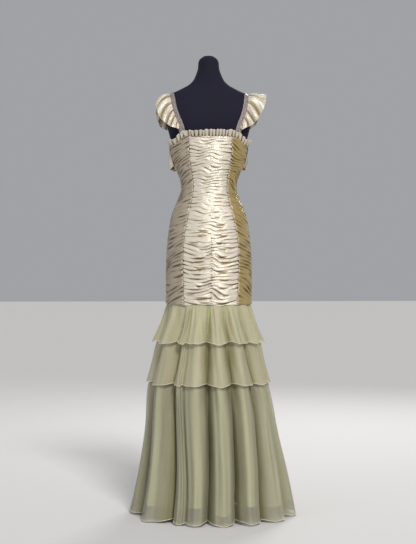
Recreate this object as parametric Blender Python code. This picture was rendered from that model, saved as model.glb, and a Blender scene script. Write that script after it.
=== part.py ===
"""A mermaid gown on a limbless dress form, as closed solids in metres, +Z up.

The gown's front faces -Y and the wearer's left is +X. The origin is on the floor under the stand's pole.
A point of the gown is given by an angle round the body, 0 at the centre back and rising towards +X,
a height, and how far out it lies from the general figure that the gown is cut for.
"""

import math

import bmesh
import bpy
from mathutils import Vector

for leftover in list(bpy.data.objects):
    bpy.data.objects.remove(leftover, do_unlink=True)

# Driving sizes of the cloth and its seams
SEAM_GAP = 0.0003
EASE = 0.0038
SATIN_WALL = 0.0015
ORGANZA_WALL = 0.0011
BODY_HEM_Z = 0.746
NECK_EDGE_Z = 1.338
UNDERARM_DROP = 0.026
EDGE_LEVEL_TO_X = 0.085
EDGE_DROP_WIDTH = 0.045

# The dress form's skin, by height: half width, depth to the back and front, squareness, and the neck's lean
TORSO = [
    dict(z=0.700, half=0.145, back=0.113, front=0.106, square=2.2, lean=0.0),
    dict(z=0.834, half=0.145, back=0.119, front=0.104, square=2.2, lean=0.0),
    dict(z=0.941, half=0.142, back=0.122, front=0.099, square=2.2, lean=0.0),
    dict(z=1.026, half=0.132, back=0.105, front=0.091, square=2.2, lean=0.0),
    dict(z=1.069, half=0.123, back=0.091, front=0.085, square=2.2, lean=0.0),
    dict(z=1.111, half=0.106, back=0.079, front=0.078, square=2.2, lean=0.0),
    dict(z=1.154, half=0.091, back=0.071, front=0.073, square=2.2, lean=0.0),
    dict(z=1.197, half=0.096, back=0.074, front=0.079, square=2.2, lean=0.0),
    dict(z=1.240, half=0.116, back=0.082, front=0.098, square=2.2, lean=0.0),
    dict(z=1.285, half=0.128, back=0.087, front=0.105, square=2.2, lean=0.0),
    dict(z=1.311, half=0.132, back=0.088, front=0.101, square=2.2, lean=0.0),
    dict(z=1.338, half=0.138, back=0.088, front=0.095, square=2.3, lean=0.0),
    dict(z=1.380, half=0.149, back=0.085, front=0.083, square=2.5, lean=0.0),
    dict(z=1.420, half=0.158, back=0.077, front=0.070, square=2.6, lean=0.0),
    dict(z=1.450, half=0.162, back=0.068, front=0.059, square=2.6, lean=0.001),
    dict(z=1.475, half=0.156, back=0.059, front=0.050, square=2.6, lean=0.002),
    dict(z=1.500, half=0.133, back=0.051, front=0.044, square=2.5, lean=0.003),
    dict(z=1.515, half=0.104, back=0.046, front=0.042, square=2.4, lean=0.004),
    dict(z=1.531, half=0.075, back=0.043, front=0.042, square=2.3, lean=0.005),
    dict(z=1.548, half=0.057, back=0.042, front=0.042, square=2.2, lean=0.006),
    dict(z=1.568, half=0.047, back=0.041, front=0.042, square=2.1, lean=0.008),
    dict(z=1.592, half=0.039, back=0.039, front=0.040, square=2.0, lean=0.010),
    dict(z=1.614, half=0.037, back=0.037, front=0.038, square=2.0, lean=0.012),
    dict(z=1.627, half=0.032, back=0.032, front=0.033, square=2.0, lean=0.013),
    dict(z=1.636, half=0.021, back=0.021, front=0.021, square=2.0, lean=0.014),
]
FORM_BOTTOM_Z = 0.780
FORM_TOP_Z = 1.640
FORM_COLUMNS = 24
FORM_BUST_SHARE = 0.5

# Each bust point of the general figure stands out from the section by this much
BUST_RISE = 0.016
BUST_Z = 1.268
BUST_TALL = 0.034
BUST_FROM_FRONT = math.radians(33)
BUST_WIDE = math.radians(17)

# Ruched satin panels: their seams by angle, columns of points, how far the folds sag and slant, and a seed
PANELS = [
    dict(name="back_left", start=0, end=44, columns=4, sag=0.010, slant=0.000, seed=1.0),
    dict(name="back_right", start=-44, end=0, columns=4, sag=0.010, slant=0.000, seed=2.0),
    dict(name="side_left", start=44, end=90, columns=4, sag=0.004, slant=-0.020, seed=3.0),
    dict(name="side_right", start=-90, end=-44, columns=4, sag=0.004, slant=0.020, seed=4.0),
    dict(name="front", start=90, end=270, columns=12, sag=0.012, slant=0.000, seed=5.0),
]
RUCHE_FOLDS = 22
RUCHE_LOW = 0.0003
RUCHE_HIGH = 0.0024
RUCHE_VARIES = 0.0022
INSIDE_ROWS = 17

# The flounce that hangs over the bust, from side to side of the front
FLOUNCE = [
    dict(z=1.3085, out=0.0095, wave=0.0000),
    dict(z=1.285, out=0.0110, wave=0.0008),
    dict(z=1.258, out=0.0140, wave=0.0014),
    dict(z=1.228, out=0.0230, wave=0.0045),
]
FLOUNCE_START = 84
FLOUNCE_END = 276
FLOUNCE_WAVES = 8
FLOUNCE_STEPS_PER_WAVE = 4

# The frill on the neck edge
FRILL_WAVES = 44
FRILL_STEPS_PER_WAVE = 3
FRILL_TALL = 0.021
FRILL_CLEAR = 0.0021
FRILL_LEAN = 0.0055
FRILL_WAVE = 0.0042

# The shoulder straps: half width, where they sit across the shoulder, and rows of points
STRAP_WIDE = 0.020
STRAP_BACK_X = 0.096
STRAP_TOP_X = 0.136
STRAP_FRONT_X = 0.100
STRAP_WALL = 0.0015
STRAP_OVER_FORM = 0.0014
STRAP_ROWS = 26
STRAP_PIVOT_Z = 1.345

# The gathered cap that stands out from each strap
CAP_START = 0.11
CAP_END = 0.89
CAP_LONG = 0.058
CAP_SHORT = 0.004
CAP_TAPER = 0.7
CAP_GATHER = 0.18
CAP_CLEAR = 0.0012
CAP_RAISE = 0.0012
CAP_DROOP = 0.75
CAP_WAVES = 12
CAP_STEPS_PER_WAVE = 3
CAP_WAVE = 0.0075
CAP_ROWS = 2

# Lower layers, by height: half width, shift to +X, depth to the back and front, and how deep the folds are
LAYERS = {
    "tier_one": [
        dict(z=0.7457, half=0.1500, shift=0.000, back=0.1205, front=0.1115, fold=0.003),
        dict(z=0.7050, half=0.1630, shift=0.000, back=0.1360, front=0.1270, fold=0.010),
        dict(z=0.6580, half=0.1820, shift=0.000, back=0.1560, front=0.1450, fold=0.016),
        dict(z=0.6100, half=0.2040, shift=0.000, back=0.1780, front=0.1640, fold=0.020),
    ],
    "tier_two": [
        dict(z=0.6400, half=0.1700, shift=0.000, back=0.1450, front=0.1350, fold=0.008),
        dict(z=0.6030, half=0.1890, shift=0.000, back=0.1650, front=0.1530, fold=0.014),
        dict(z=0.5350, half=0.2060, shift=0.000, back=0.1860, front=0.1710, fold=0.020),
        dict(z=0.4660, half=0.2250, shift=0.000, back=0.2060, front=0.1900, fold=0.024),
    ],
    "skirt": [
        dict(z=0.5000, half=0.1950, shift=0.000, back=0.1770, front=0.1630, fold=0.012),
        dict(z=0.4520, half=0.2180, shift=0.000, back=0.1990, front=0.1830, fold=0.026),
        dict(z=0.2900, half=0.2430, shift=-0.009, back=0.2270, front=0.2090, fold=0.036),
        dict(z=0.1500, half=0.2730, shift=-0.016, back=0.2560, front=0.2360, fold=0.041),
        dict(z=0.0060, half=0.3030, shift=-0.016, back=0.2880, front=0.2660, fold=0.046),
    ],
    "underskirt": [
        dict(z=0.7457, half=0.1480, shift=0.000, back=0.1185, front=0.1095, fold=0.003),
        dict(z=0.6400, half=0.1685, shift=0.000, back=0.1435, front=0.1335, fold=0.008),
        dict(z=0.5000, half=0.1935, shift=0.000, back=0.1755, front=0.1615, fold=0.012),
        dict(z=0.4520, half=0.2110, shift=0.000, back=0.1920, front=0.1760, fold=0.026),
        dict(z=0.2900, half=0.2365, shift=-0.009, back=0.2205, front=0.2025, fold=0.036),
        dict(z=0.1500, half=0.2665, shift=-0.016, back=0.2495, front=0.2295, fold=0.041),
        dict(z=0.0550, half=0.2860, shift=-0.016, back=0.2700, front=0.2490, fold=0.044),
    ],
}
# Where the cloth folds inwards, by angle high on the skirt and at the hem, and its share of the fold's depth
VALLEYS = [
    dict(high=-90.0, low=-84.0, depth=1.0),
    dict(high=-67.0, low=-59.0, depth=0.8),
    dict(high=-47.0, low=-34.4, depth=1.0),
    dict(high=-21.0, low=-13.8, depth=1.2),
    dict(high=5.4, low=8.2, depth=1.2),
    dict(high=30.0, low=24.0, depth=0.4),
    dict(high=42.0, low=36.0, depth=1.1),
    dict(high=78.0, low=74.0, depth=1.0),
    dict(high=104.0, low=102.0, depth=0.9),
    dict(high=132.0, low=130.0, depth=1.1),
    dict(high=160.0, low=161.0, depth=0.8),
    dict(high=188.0, low=186.0, depth=1.0),
    dict(high=216.0, low=217.0, depth=1.1),
    dict(high=243.0, low=247.0, depth=0.9),
]
VALLEYS_IN_BACK = 7
SKIRT_SQUARE = 2.2
DRIFT_STARTS_Z = 0.45
GATHERED_LOBE_STEPS = (0.0, 0.13, 0.30, 0.5, 0.70, 0.87)
PLAIN_LOBE_STEPS = (0.0, 0.16, 0.38, 0.62, 0.84)
TIER_ONE_GATHER = 0.0030
HEM_LIFT = 0.005

# The stand under the form
POLE_RADIUS = 0.016
BASE_RADIUS = 0.170
BASE_TALL = 0.014
BASE_BEVEL = 0.003
ROUND_STEPS = 32

SATIN = dict(colour=(0.72, 0.63, 0.42, 1.0), roughness=0.38, metallic=0.0)
ORGANZA = dict(colour=(0.62, 0.60, 0.42, 1.0), roughness=0.55, metallic=0.0)
JERSEY = dict(colour=(0.018, 0.016, 0.032, 1.0), roughness=0.85, metallic=0.0)
STEEL = dict(colour=(0.03, 0.03, 0.035, 1.0), roughness=0.45, metallic=0.8)


def smooth(t):
    """A ramp from 0 to 1 that starts and ends level."""
    t = min(1.0, max(0.0, t))
    return t * t * (3 - 2 * t)


def wobble(a, b):
    """A repeatable value from 0 to 1 that looks uneven."""
    value = math.sin(12.99 * a + 78.23 * b + 3.7) * 43.75
    return value - math.floor(value)


def read_section(table, column, z):
    """A table's column at height z, on a smooth curve through its rows. Rows run up or down."""
    rows = sorted(table, key=lambda row: row["z"])
    if z <= rows[0]["z"]:
        return rows[0][column]
    if z >= rows[-1]["z"]:
        return rows[-1][column]
    i = next(k for k in range(len(rows) - 1) if z <= rows[k + 1]["z"])
    low, high = rows[i], rows[i + 1]
    span = high["z"] - low["z"]

    def slope(k):
        before, after = rows[max(k - 1, 0)], rows[min(k + 1, len(rows) - 1)]
        return (after[column] - before[column]) / (after["z"] - before["z"])

    t = (z - low["z"]) / span
    return (
        (2 * t**3 - 3 * t**2 + 1) * low[column]
        + (t**3 - 2 * t**2 + t) * span * slope(i)
        + (3 * t**2 - 2 * t**3) * high[column]
        + (t**3 - t**2) * span * slope(i + 1)
    )


def oval_point(half, back, front, square, angle, out):
    """A point of a boxy oval, moved out square to it. It is flat: x and y."""
    across, along = math.sin(angle), math.cos(angle)
    deep = back if along > 0 else front
    reach = ((abs(across) / half) ** square + (abs(along) / deep) ** square) ** (-1 / square)
    x, y = reach * across, reach * along
    nx = math.copysign((abs(x) / half) ** (square - 1) / half, x)
    ny = math.copysign((abs(y) / deep) ** (square - 1) / deep, y)
    size = math.hypot(nx, ny)
    return x + out * nx / size, y + out * ny / size


def bust_rise(angle, z):
    """How far the general figure's bust stands out from the plain section."""
    from_front = abs(math.remainder(angle - math.pi, 2 * math.pi))
    across = math.exp(-(((from_front - BUST_FROM_FRONT) / BUST_WIDE) ** 2))
    return BUST_RISE * across * math.exp(-(((z - BUST_Z) / BUST_TALL) ** 2))


def body_point(angle, z, out, bust_share=1.0):
    """A point that lies out from the general figure."""
    columns = ("half", "back", "front", "square")
    half, back, front, square = (read_section(TORSO, column, z) for column in columns)
    x, y = oval_point(half, back, front, square, angle, out + bust_share * bust_rise(angle, z))
    return Vector((x, y - read_section(TORSO, "lean", z), z))


def neck_edge_z(x):
    """The gown's upper edge: level across the back and front, lower under the arms."""
    return NECK_EDGE_Z - UNDERARM_DROP * smooth((abs(x) - EDGE_LEVEL_TO_X) / EDGE_DROP_WIDTH)


def neck_edge_at(angle):
    x = body_point(angle, NECK_EDGE_Z, EASE)[0]
    return neck_edge_z(x)


def finish_object(name, bm, look, flat_above=50):
    """Turns a bmesh into a named object with its own material, shaded smooth but for sharp edges."""
    bmesh.ops.recalc_face_normals(bm, faces=bm.faces)
    mesh = bpy.data.meshes.new(name)
    bm.to_mesh(mesh)
    bm.free()
    mesh.shade_smooth()
    mesh.set_sharp_from_angle(angle=math.radians(flat_above))
    material = bpy.data.materials.new(name)
    material.use_nodes = True
    shader = material.node_tree.nodes["Principled BSDF"]
    shader.inputs["Base Color"].default_value = look["colour"]
    shader.inputs["Roughness"].default_value = look["roughness"]
    shader.inputs["Metallic"].default_value = look["metallic"]
    mesh.materials.append(material)
    thing = bpy.data.objects.new(name, mesh)
    bpy.context.scene.collection.objects.link(thing)
    return thing


def zip_strip(bm, first, second):
    """Triangles between two edges of points that run side by side, however many each has."""
    i = j = 0
    while i < len(first) - 1 or j < len(second) - 1:
        next_i, next_j = (i + 1) / (len(first) - 1), (j + 1) / (len(second) - 1)
        if j == len(second) - 1 or (i < len(first) - 1 and next_i <= next_j):
            bm.faces.new((first[i], first[i + 1], second[j]))
            i += 1
        else:
            bm.faces.new((first[i], second[j + 1], second[j]))
            j += 1


def cloth_wall(name, outer, inner, look):
    """A closed wall between two grids of points with the same columns. The inner may have fewer rows."""
    bm = bmesh.new()
    faces = [[[bm.verts.new(point) for point in row] for row in grid] for grid in (outer, inner)]
    for grid in faces:
        for upper, lower in zip(grid, grid[1:]):
            for k in range(len(upper) - 1):
                bm.faces.new((upper[k], upper[k + 1], lower[k + 1], lower[k]))
    front, behind = faces
    for rim_front, rim_behind in ((front[0], behind[0]), (front[-1], behind[-1])):
        for k in range(len(rim_front) - 1):
            bm.faces.new((rim_front[k], rim_front[k + 1], rim_behind[k + 1], rim_behind[k]))
    for k in (0, -1):
        zip_strip(bm, [row[k] for row in front], [row[k] for row in behind])
    return finish_object(name, bm, look)


def ruched_panel(panel):
    """One panel of the fitted body, with its gathered folds raised over a plain inside."""
    start, end = math.radians(panel["start"]), math.radians(panel["end"])
    angles = [start + (end - start) * k / panel["columns"] for k in range(panel["columns"] + 1)]
    tops = [neck_edge_at(angle) for angle in angles]
    rows = 2 * RUCHE_FOLDS

    def place(row, row_count, k, out):
        across, down = k / panel["columns"], row / row_count
        sag = panel["sag"] * 4 * across * (1 - across)
        shift = (panel["slant"] * (across - 0.5) - sag) * math.sin(math.pi * down) ** 0.5
        z = tops[k] - (tops[k] - BODY_HEM_Z) * down + shift
        gap = SEAM_GAP / 2 / body_point(angles[k], z, 0).xy.length
        clear = gap if k == 0 else -gap if k == panel["columns"] else 0.0
        return body_point(angles[k] + clear, z, out)

    def raised(row, k):
        if row % 2 == 0:
            return RUCHE_LOW
        seam = 0.6 if k in (0, panel["columns"]) else 1.0
        return seam * (RUCHE_HIGH + RUCHE_VARIES * wobble(row + panel["seed"], k * 1.7 + panel["seed"]))

    columns = range(panel["columns"] + 1)
    over = EASE + SATIN_WALL
    outer = [[place(row, rows, k, over + raised(row, k)) for k in columns] for row in range(rows + 1)]
    inner = [[place(row, INSIDE_ROWS, k, EASE) for k in columns] for row in range(INSIDE_ROWS + 1)]
    return cloth_wall(panel["name"], outer, inner, SATIN)


def bust_flounce():
    """The free flounce over the bust, waved at its lower edge."""
    steps = FLOUNCE_WAVES * FLOUNCE_STEPS_PER_WAVE
    outer, inner = [], []
    for row in FLOUNCE:
        outside, inside = [], []
        for k in range(steps + 1):
            share = k / steps
            angle = math.radians(FLOUNCE_START + (FLOUNCE_END - FLOUNCE_START) * share)
            out = row["out"] + row["wave"] * math.sin(2 * math.pi * FLOUNCE_WAVES * share)
            outside.append(body_point(angle, row["z"], out + SATIN_WALL))
            inside.append(body_point(angle, row["z"], out))
        outer.append(outside)
        inner.append(inside)
    return cloth_wall("bust_flounce", outer, inner, SATIN)


def neck_frill(name, start, end):
    """Half of the frill on the neck edge. Its foot is sewn outside the edge and its head waves."""
    waves = FRILL_WAVES // 2
    steps = waves * FRILL_STEPS_PER_WAVE
    foot_out = EASE + STRAP_WALL + FRILL_CLEAR
    gap = SEAM_GAP / 2 / TORSO[0]["half"]
    first, last = math.radians(start) + gap, math.radians(end) - gap
    outer, inner = [], []
    for up in (1.0, 0.45, 0.0):
        outside, inside = [], []
        for k in range(steps + 1):
            angle = first + (last - first) * k / steps
            z = neck_edge_at(angle) + SEAM_GAP + FRILL_TALL * up
            wave = FRILL_WAVE * (0.25 + 0.75 * up) * (1 + math.sin(math.pi / 2 * k))
            out = foot_out + FRILL_LEAN * up + wave
            outside.append(edge_point(angle, z, out + SATIN_WALL))
            inside.append(edge_point(angle, z, out))
        outer.append(outside)
        inner.append(inside)
    return cloth_wall(name, outer, inner, SATIN)


def edge_point(angle, z, out):
    """A point above or at the neck edge, standing straight up from the section there."""
    at_edge = body_point(angle, neck_edge_at(angle), out)
    return Vector((at_edge.x, at_edge.y, z))


def form_fill(x, y, z):
    """Below 1 inside the dress form, 1 on its skin and more outside it."""
    y += read_section(TORSO, "lean", z)
    half = read_section(TORSO, "half", z)
    deep = read_section(TORSO, "back" if y > 0 else "front", z)
    square = read_section(TORSO, "square", z)
    return (abs(x) / half) ** square + (abs(y) / deep) ** square


def reach_to_form(x, turn):
    """How far the form's skin is from the strap's pivot, in the plane at x. Turn 0 looks back."""
    reach = 0.0
    for step in range(1, 301):
        far = 0.001 * step
        if form_fill(x, far * math.cos(turn), STRAP_PIVOT_Z + far * math.sin(turn)) < 1:
            reach = far
    return reach


def form_normal(x, y, z):
    """The direction square to the form's skin, from small steps."""
    step = 0.0005
    slopes = [
        form_fill(x + step, y, z) - form_fill(x - step, y, z),
        form_fill(x, y + step, z) - form_fill(x, y - step, z),
        form_fill(x, y, z + step) - form_fill(x, y, z - step),
    ]
    return Vector(slopes).normalized()


def strap_centre_x(share):
    """Where a strap runs sideways: share 0 is its back end, 0.5 the shoulder, 1 its front end."""
    end_x = STRAP_BACK_X if share < 0.5 else STRAP_FRONT_X
    return end_x + (STRAP_TOP_X - end_x) * math.sin(math.pi * share) ** 2


def strap_point(share, across, out):
    """A point of the left strap, out from the form's skin. Across runs from -0.5 at the neck side to 0.5."""
    x = strap_centre_x(share) + STRAP_WIDE * across
    turn = math.pi * share
    reach = reach_to_form(x, turn)
    y, z = reach * math.cos(turn), STRAP_PIVOT_Z + reach * math.sin(turn)
    lift = out + (EASE - STRAP_OVER_FORM) * (1 - smooth(min(share, 1 - share) / 0.22))
    point = Vector((x, y, z)) + form_normal(x, y, z) * lift
    if share in (0.0, 1.0):
        point.z = neck_edge_z(x) + 2 * SEAM_GAP
    return point


def mirrored(point, side):
    return Vector((point.x * side, point.y, point.z))


def shoulder_strap(name, side):
    """One strap over the shoulder, from the back edge to the front edge."""
    outer, inner = [], []
    for row in range(STRAP_ROWS + 1):
        share = row / STRAP_ROWS
        lines = (-0.5, 0.0, 0.5)
        over = STRAP_OVER_FORM + STRAP_WALL
        inner.append([mirrored(strap_point(share, line, STRAP_OVER_FORM), side) for line in lines])
        outer.append([mirrored(strap_point(share, line, over), side) for line in lines])
    return cloth_wall(name, outer, inner, SATIN)


def cap_sleeve(name, side):
    """The gathered cap on a strap's outer edge. It stands out sideways and droops at the back and front."""
    steps = CAP_WAVES * CAP_STEPS_PER_WAVE
    outer, inner = [], []
    for row in range(CAP_ROWS + 1):
        reach = row / CAP_ROWS
        outside, inside = [], []
        for k in range(steps + 1):
            along = k / steps
            share = CAP_START + (CAP_END - CAP_START) * along
            foot = strap_point(share, 0.5, STRAP_OVER_FORM + STRAP_WALL / 2)
            ahead = strap_point(share + 0.01, 0.5, STRAP_OVER_FORM)
            behind = strap_point(share - 0.01, 0.5, STRAP_OVER_FORM)
            along_strap = (ahead - behind).normalized()
            droop = CAP_DROOP * abs(math.cos(math.pi * share))
            sideways = Vector((1.0, 0.18 * math.cos(math.pi * share), -droop)).normalized()
            square = along_strap.cross(sideways).normalized()
            if square.dot(form_normal(foot.x, foot.y, foot.z)) < 0:
                square = -square
            long = CAP_SHORT + (CAP_LONG - CAP_SHORT) * math.sin(math.pi * along) ** CAP_TAPER
            swell = (CAP_GATHER + (1 - CAP_GATHER) * reach) * CAP_WAVE * min(1.0, 2 * long / CAP_LONG)
            wave = swell * math.sin(math.pi / 2 * k)
            centre = foot + sideways * (CAP_CLEAR + long * reach) + square * (wave + CAP_RAISE)
            outside.append(mirrored(centre + square * SATIN_WALL / 2, side))
            inside.append(mirrored(centre - square * SATIN_WALL / 2, side))
        outer.append(outside)
        inner.append(inside)
    return cloth_wall(name, outer, inner, SATIN)


def valley_angle(number, z):
    """A valley's angle at height z. Numbers past the table's end go on round the body."""
    turns, place = divmod(number, len(VALLEYS))
    valley = VALLEYS[place]
    fall = smooth(1 - z / DRIFT_STARTS_Z)
    return math.radians(valley["high"] + (valley["low"] - valley["high"]) * fall + 360 * turns)


def layer_point(layer, position, z, out):
    """A point of a lower layer. Position counts valleys, with the share of the way to the next one."""
    number = math.floor(position + 1e-9)
    share = position - number
    before, after = valley_angle(number, z), valley_angle(number + 1, z)
    angle = before + (after - before) * share
    table = LAYERS[layer]
    depth_before = VALLEYS[number % len(VALLEYS)]["depth"]
    depth_after = VALLEYS[(number + 1) % len(VALLEYS)]["depth"]
    depth = depth_before + (depth_after - depth_before) * smooth(share)
    fold = depth * read_section(table, "fold", z) * (1 - math.sin(math.pi * share))
    half, back, front = (read_section(table, column, z) for column in ("half", "back", "front"))
    x, y = oval_point(half, back, front, SKIRT_SQUARE, angle, out - fold)
    lift = HEM_LIFT * (1 - math.sin(math.pi * share)) if z == table[-1]["z"] else 0.0
    return Vector((x + read_section(table, "shift", z), y, z + lift))


def gathered_layer(name, layer, first, last, lobe_steps, gather=0.0):
    """Part of a lower layer, between two valleys. Gather makes small folds that fade towards the hem."""
    positions = [number + step for number in range(first, last) for step in lobe_steps] + [float(last)]
    gap = SEAM_GAP / LAYERS[layer][0]["half"] / math.radians(20)
    positions[0] += gap
    positions[-1] -= gap
    outer, inner = [], []
    for row in LAYERS[layer]:
        share = (LAYERS[layer][0]["z"] - row["z"]) / (LAYERS[layer][0]["z"] - LAYERS[layer][-1]["z"])
        small = [gather * (1 - 0.75 * share) * (k % 2) for k in range(len(positions))]
        outer.append([layer_point(layer, at, row["z"], small[k]) for k, at in enumerate(positions)])
        behind = [out - ORGANZA_WALL for out in small]
        inner.append([layer_point(layer, at, row["z"], behind[k]) for k, at in enumerate(positions)])
    return cloth_wall(name, outer, inner, ORGANZA)


def dress_form():
    """The limbless torso and neck that the gown is shown on, closed by a flat base and a domed top."""
    heights = [FORM_BOTTOM_Z] + [row["z"] for row in TORSO if row["z"] > FORM_BOTTOM_Z]
    turns = [2 * math.pi * k / FORM_COLUMNS for k in range(FORM_COLUMNS)]
    bm = bmesh.new()
    rings = [
        [bm.verts.new(body_point(turn, z, 0.0, FORM_BUST_SHARE)) for turn in turns]
        for z in heights
    ]
    for lower, upper in zip(rings, rings[1:]):
        for k in range(FORM_COLUMNS):
            after = (k + 1) % FORM_COLUMNS
            bm.faces.new((lower[k], lower[after], upper[after], upper[k]))
    bm.faces.new(rings[0])
    crown = bm.verts.new((0.0, -TORSO[-1]["lean"], FORM_TOP_Z))
    for k in range(FORM_COLUMNS):
        bm.faces.new((rings[-1][k], rings[-1][(k + 1) % FORM_COLUMNS], crown))
    return finish_object("dress_form", bm, JERSEY, flat_above=60)


def round_bar(name, radius, low, high, bevel, look):
    """An upright round bar or plate with bevelled ends."""
    bm = bmesh.new()
    bmesh.ops.create_cone(
        bm, cap_ends=True, segments=ROUND_STEPS, radius1=radius, radius2=radius, depth=high - low
    )
    bmesh.ops.translate(bm, verts=bm.verts, vec=(0, 0, (low + high) / 2))
    if bevel:
        rims = [edge for edge in bm.edges if abs(edge.verts[0].co.z - edge.verts[1].co.z) < 1e-6]
        bmesh.ops.bevel(bm, geom=rims, offset=bevel, segments=1, affect="EDGES")
    return finish_object(name, bm, look, flat_above=40)


for row in PANELS:
    ruched_panel(row)
bust_flounce()
neck_frill("neck_frill_back", -90, 90)
neck_frill("neck_frill_front", 90, 270)
for ending, side in (("left", 1), ("right", -1)):
    shoulder_strap(f"strap_{ending}", side)
    cap_sleeve(f"cap_sleeve_{ending}", side)
for half, first, last in (("back", 0, VALLEYS_IN_BACK), ("front", VALLEYS_IN_BACK, len(VALLEYS))):
    gathered_layer(f"tier_one_{half}", "tier_one", first, last, GATHERED_LOBE_STEPS, TIER_ONE_GATHER)
    gathered_layer(f"tier_two_{half}", "tier_two", first, last, PLAIN_LOBE_STEPS)
    gathered_layer(f"skirt_{half}", "skirt", first, last, PLAIN_LOBE_STEPS)
    gathered_layer(f"underskirt_{half}", "underskirt", first, last, PLAIN_LOBE_STEPS)
dress_form()
round_bar("stand_pole", POLE_RADIUS, BASE_TALL + SEAM_GAP, FORM_BOTTOM_Z - SEAM_GAP, 0.0, STEEL)
round_bar("stand_base", BASE_RADIUS, 0.0, BASE_TALL, BASE_BEVEL, STEEL)
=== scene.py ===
"""A champagne satin mermaid gown with organza flounces, on a limbless dress form.

The gown's front faces -Y, its back +Y, and the wearer's left is +X. A point of the gown is given by an angle
round the body, 0 at the centre back and rising towards +X, by a height, and by how far out it lies from the
figure that the gown is cut for. Everything is in metres.
"""

import math

import bmesh
import bpy
import numpy as np
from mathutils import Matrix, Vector


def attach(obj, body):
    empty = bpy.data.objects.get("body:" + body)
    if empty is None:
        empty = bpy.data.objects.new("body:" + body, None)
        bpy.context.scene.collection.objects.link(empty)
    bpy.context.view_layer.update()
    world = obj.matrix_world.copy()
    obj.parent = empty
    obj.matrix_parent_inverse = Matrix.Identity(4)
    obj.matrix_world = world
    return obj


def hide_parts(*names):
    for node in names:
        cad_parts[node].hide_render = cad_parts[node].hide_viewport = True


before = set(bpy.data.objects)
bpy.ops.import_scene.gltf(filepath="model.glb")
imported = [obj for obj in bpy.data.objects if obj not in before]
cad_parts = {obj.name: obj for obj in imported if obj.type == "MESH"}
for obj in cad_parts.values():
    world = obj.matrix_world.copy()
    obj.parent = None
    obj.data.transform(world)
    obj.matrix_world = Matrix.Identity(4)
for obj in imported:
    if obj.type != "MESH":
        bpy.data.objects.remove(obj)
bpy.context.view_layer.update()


# The dress form: a hard torso with a neck and no limbs, covered in dark stretched jersey.
# The cover is sewn in halves, with a fine seam down the centre back and front, and a cap closes the neck.
TORSO = [
    dict(z=0.700, half=0.145, back=0.113, front=0.106, square=2.2, lean=0.0),
    dict(z=0.834, half=0.145, back=0.119, front=0.104, square=2.2, lean=0.0),
    dict(z=0.941, half=0.142, back=0.122, front=0.099, square=2.2, lean=0.0),
    dict(z=1.026, half=0.132, back=0.105, front=0.091, square=2.2, lean=0.0),
    dict(z=1.069, half=0.123, back=0.091, front=0.085, square=2.2, lean=0.0),
    dict(z=1.111, half=0.106, back=0.079, front=0.078, square=2.2, lean=0.0),
    dict(z=1.154, half=0.091, back=0.071, front=0.073, square=2.2, lean=0.0),
    dict(z=1.197, half=0.096, back=0.074, front=0.079, square=2.2, lean=0.0),
    dict(z=1.240, half=0.116, back=0.082, front=0.098, square=2.2, lean=0.0),
    dict(z=1.285, half=0.128, back=0.087, front=0.105, square=2.2, lean=0.0),
    dict(z=1.311, half=0.132, back=0.088, front=0.101, square=2.2, lean=0.0),
    dict(z=1.338, half=0.138, back=0.088, front=0.095, square=2.3, lean=0.0),
    dict(z=1.380, half=0.149, back=0.085, front=0.083, square=2.5, lean=0.0),
    dict(z=1.420, half=0.158, back=0.077, front=0.070, square=2.6, lean=0.0),
    dict(z=1.450, half=0.162, back=0.068, front=0.059, square=2.6, lean=0.001),
    dict(z=1.475, half=0.156, back=0.059, front=0.050, square=2.6, lean=0.002),
    dict(z=1.500, half=0.133, back=0.051, front=0.044, square=2.5, lean=0.003),
    dict(z=1.515, half=0.104, back=0.046, front=0.042, square=2.4, lean=0.004),
    dict(z=1.531, half=0.075, back=0.043, front=0.042, square=2.3, lean=0.005),
    dict(z=1.548, half=0.057, back=0.042, front=0.042, square=2.2, lean=0.006),
    dict(z=1.568, half=0.047, back=0.041, front=0.042, square=2.1, lean=0.008),
    dict(z=1.592, half=0.039, back=0.039, front=0.040, square=2.0, lean=0.010),
    dict(z=1.614, half=0.037, back=0.037, front=0.038, square=2.0, lean=0.012),
    dict(z=1.627, half=0.032, back=0.032, front=0.033, square=2.0, lean=0.013),
    dict(z=1.636, half=0.021, back=0.021, front=0.021, square=2.0, lean=0.014),
]
BUST_RISE = 0.016
BUST_Z = 1.268
BUST_TALL = 0.034
BUST_FROM_FRONT = math.radians(33)
BUST_WIDE = math.radians(17)
FORM_BUST_SHARE = 0.5
FORM_LOW, FORM_TOP = 0.7805, 1.6398
FORM_COLUMNS, FORM_ROWS = 144, 190
FORM_CLOSER_ROWS_HIGH = 1.25
# The rings that round off the neck's top, as shares of the way up to it
NECK_RINGS = (0.35, 0.65, 0.85, 0.97)
JERSEY_SEAM_DEEP, JERSEY_SEAM_WIDE = 0.0007, 0.0016
JERSEY_KNIT_DEEP = 0.0004
NECK_CAP_Z = 1.606


def ramp(value):
    """0 below 0, 1 above 1, and a smooth rise between them."""
    value = np.clip(value, 0.0, 1.0)
    return value * value * (3 - 2 * value)


def section(table, column, z):
    """A table's column at heights z, on a smooth curve through its rows."""
    rows = sorted(table, key=lambda row: row["z"])
    heights = np.array([row["z"] for row in rows])
    values = np.array([row[column] for row in rows])
    after = np.minimum(np.arange(len(rows)) + 1, len(rows) - 1)
    before = np.maximum(np.arange(len(rows)) - 1, 0)
    slopes = (values[after] - values[before]) / (heights[after] - heights[before])
    z = np.clip(z, heights[0], heights[-1])
    low = np.clip(np.searchsorted(heights, z, side="left") - 1, 0, len(rows) - 2)
    span = heights[low + 1] - heights[low]
    t = (z - heights[low]) / span
    return (
        (2 * t**3 - 3 * t**2 + 1) * values[low]
        + (t**3 - 2 * t**2 + t) * span * slopes[low]
        + (3 * t**2 - 2 * t**3) * values[low + 1]
        + (t**3 - t**2) * span * slopes[low + 1]
    )


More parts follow.
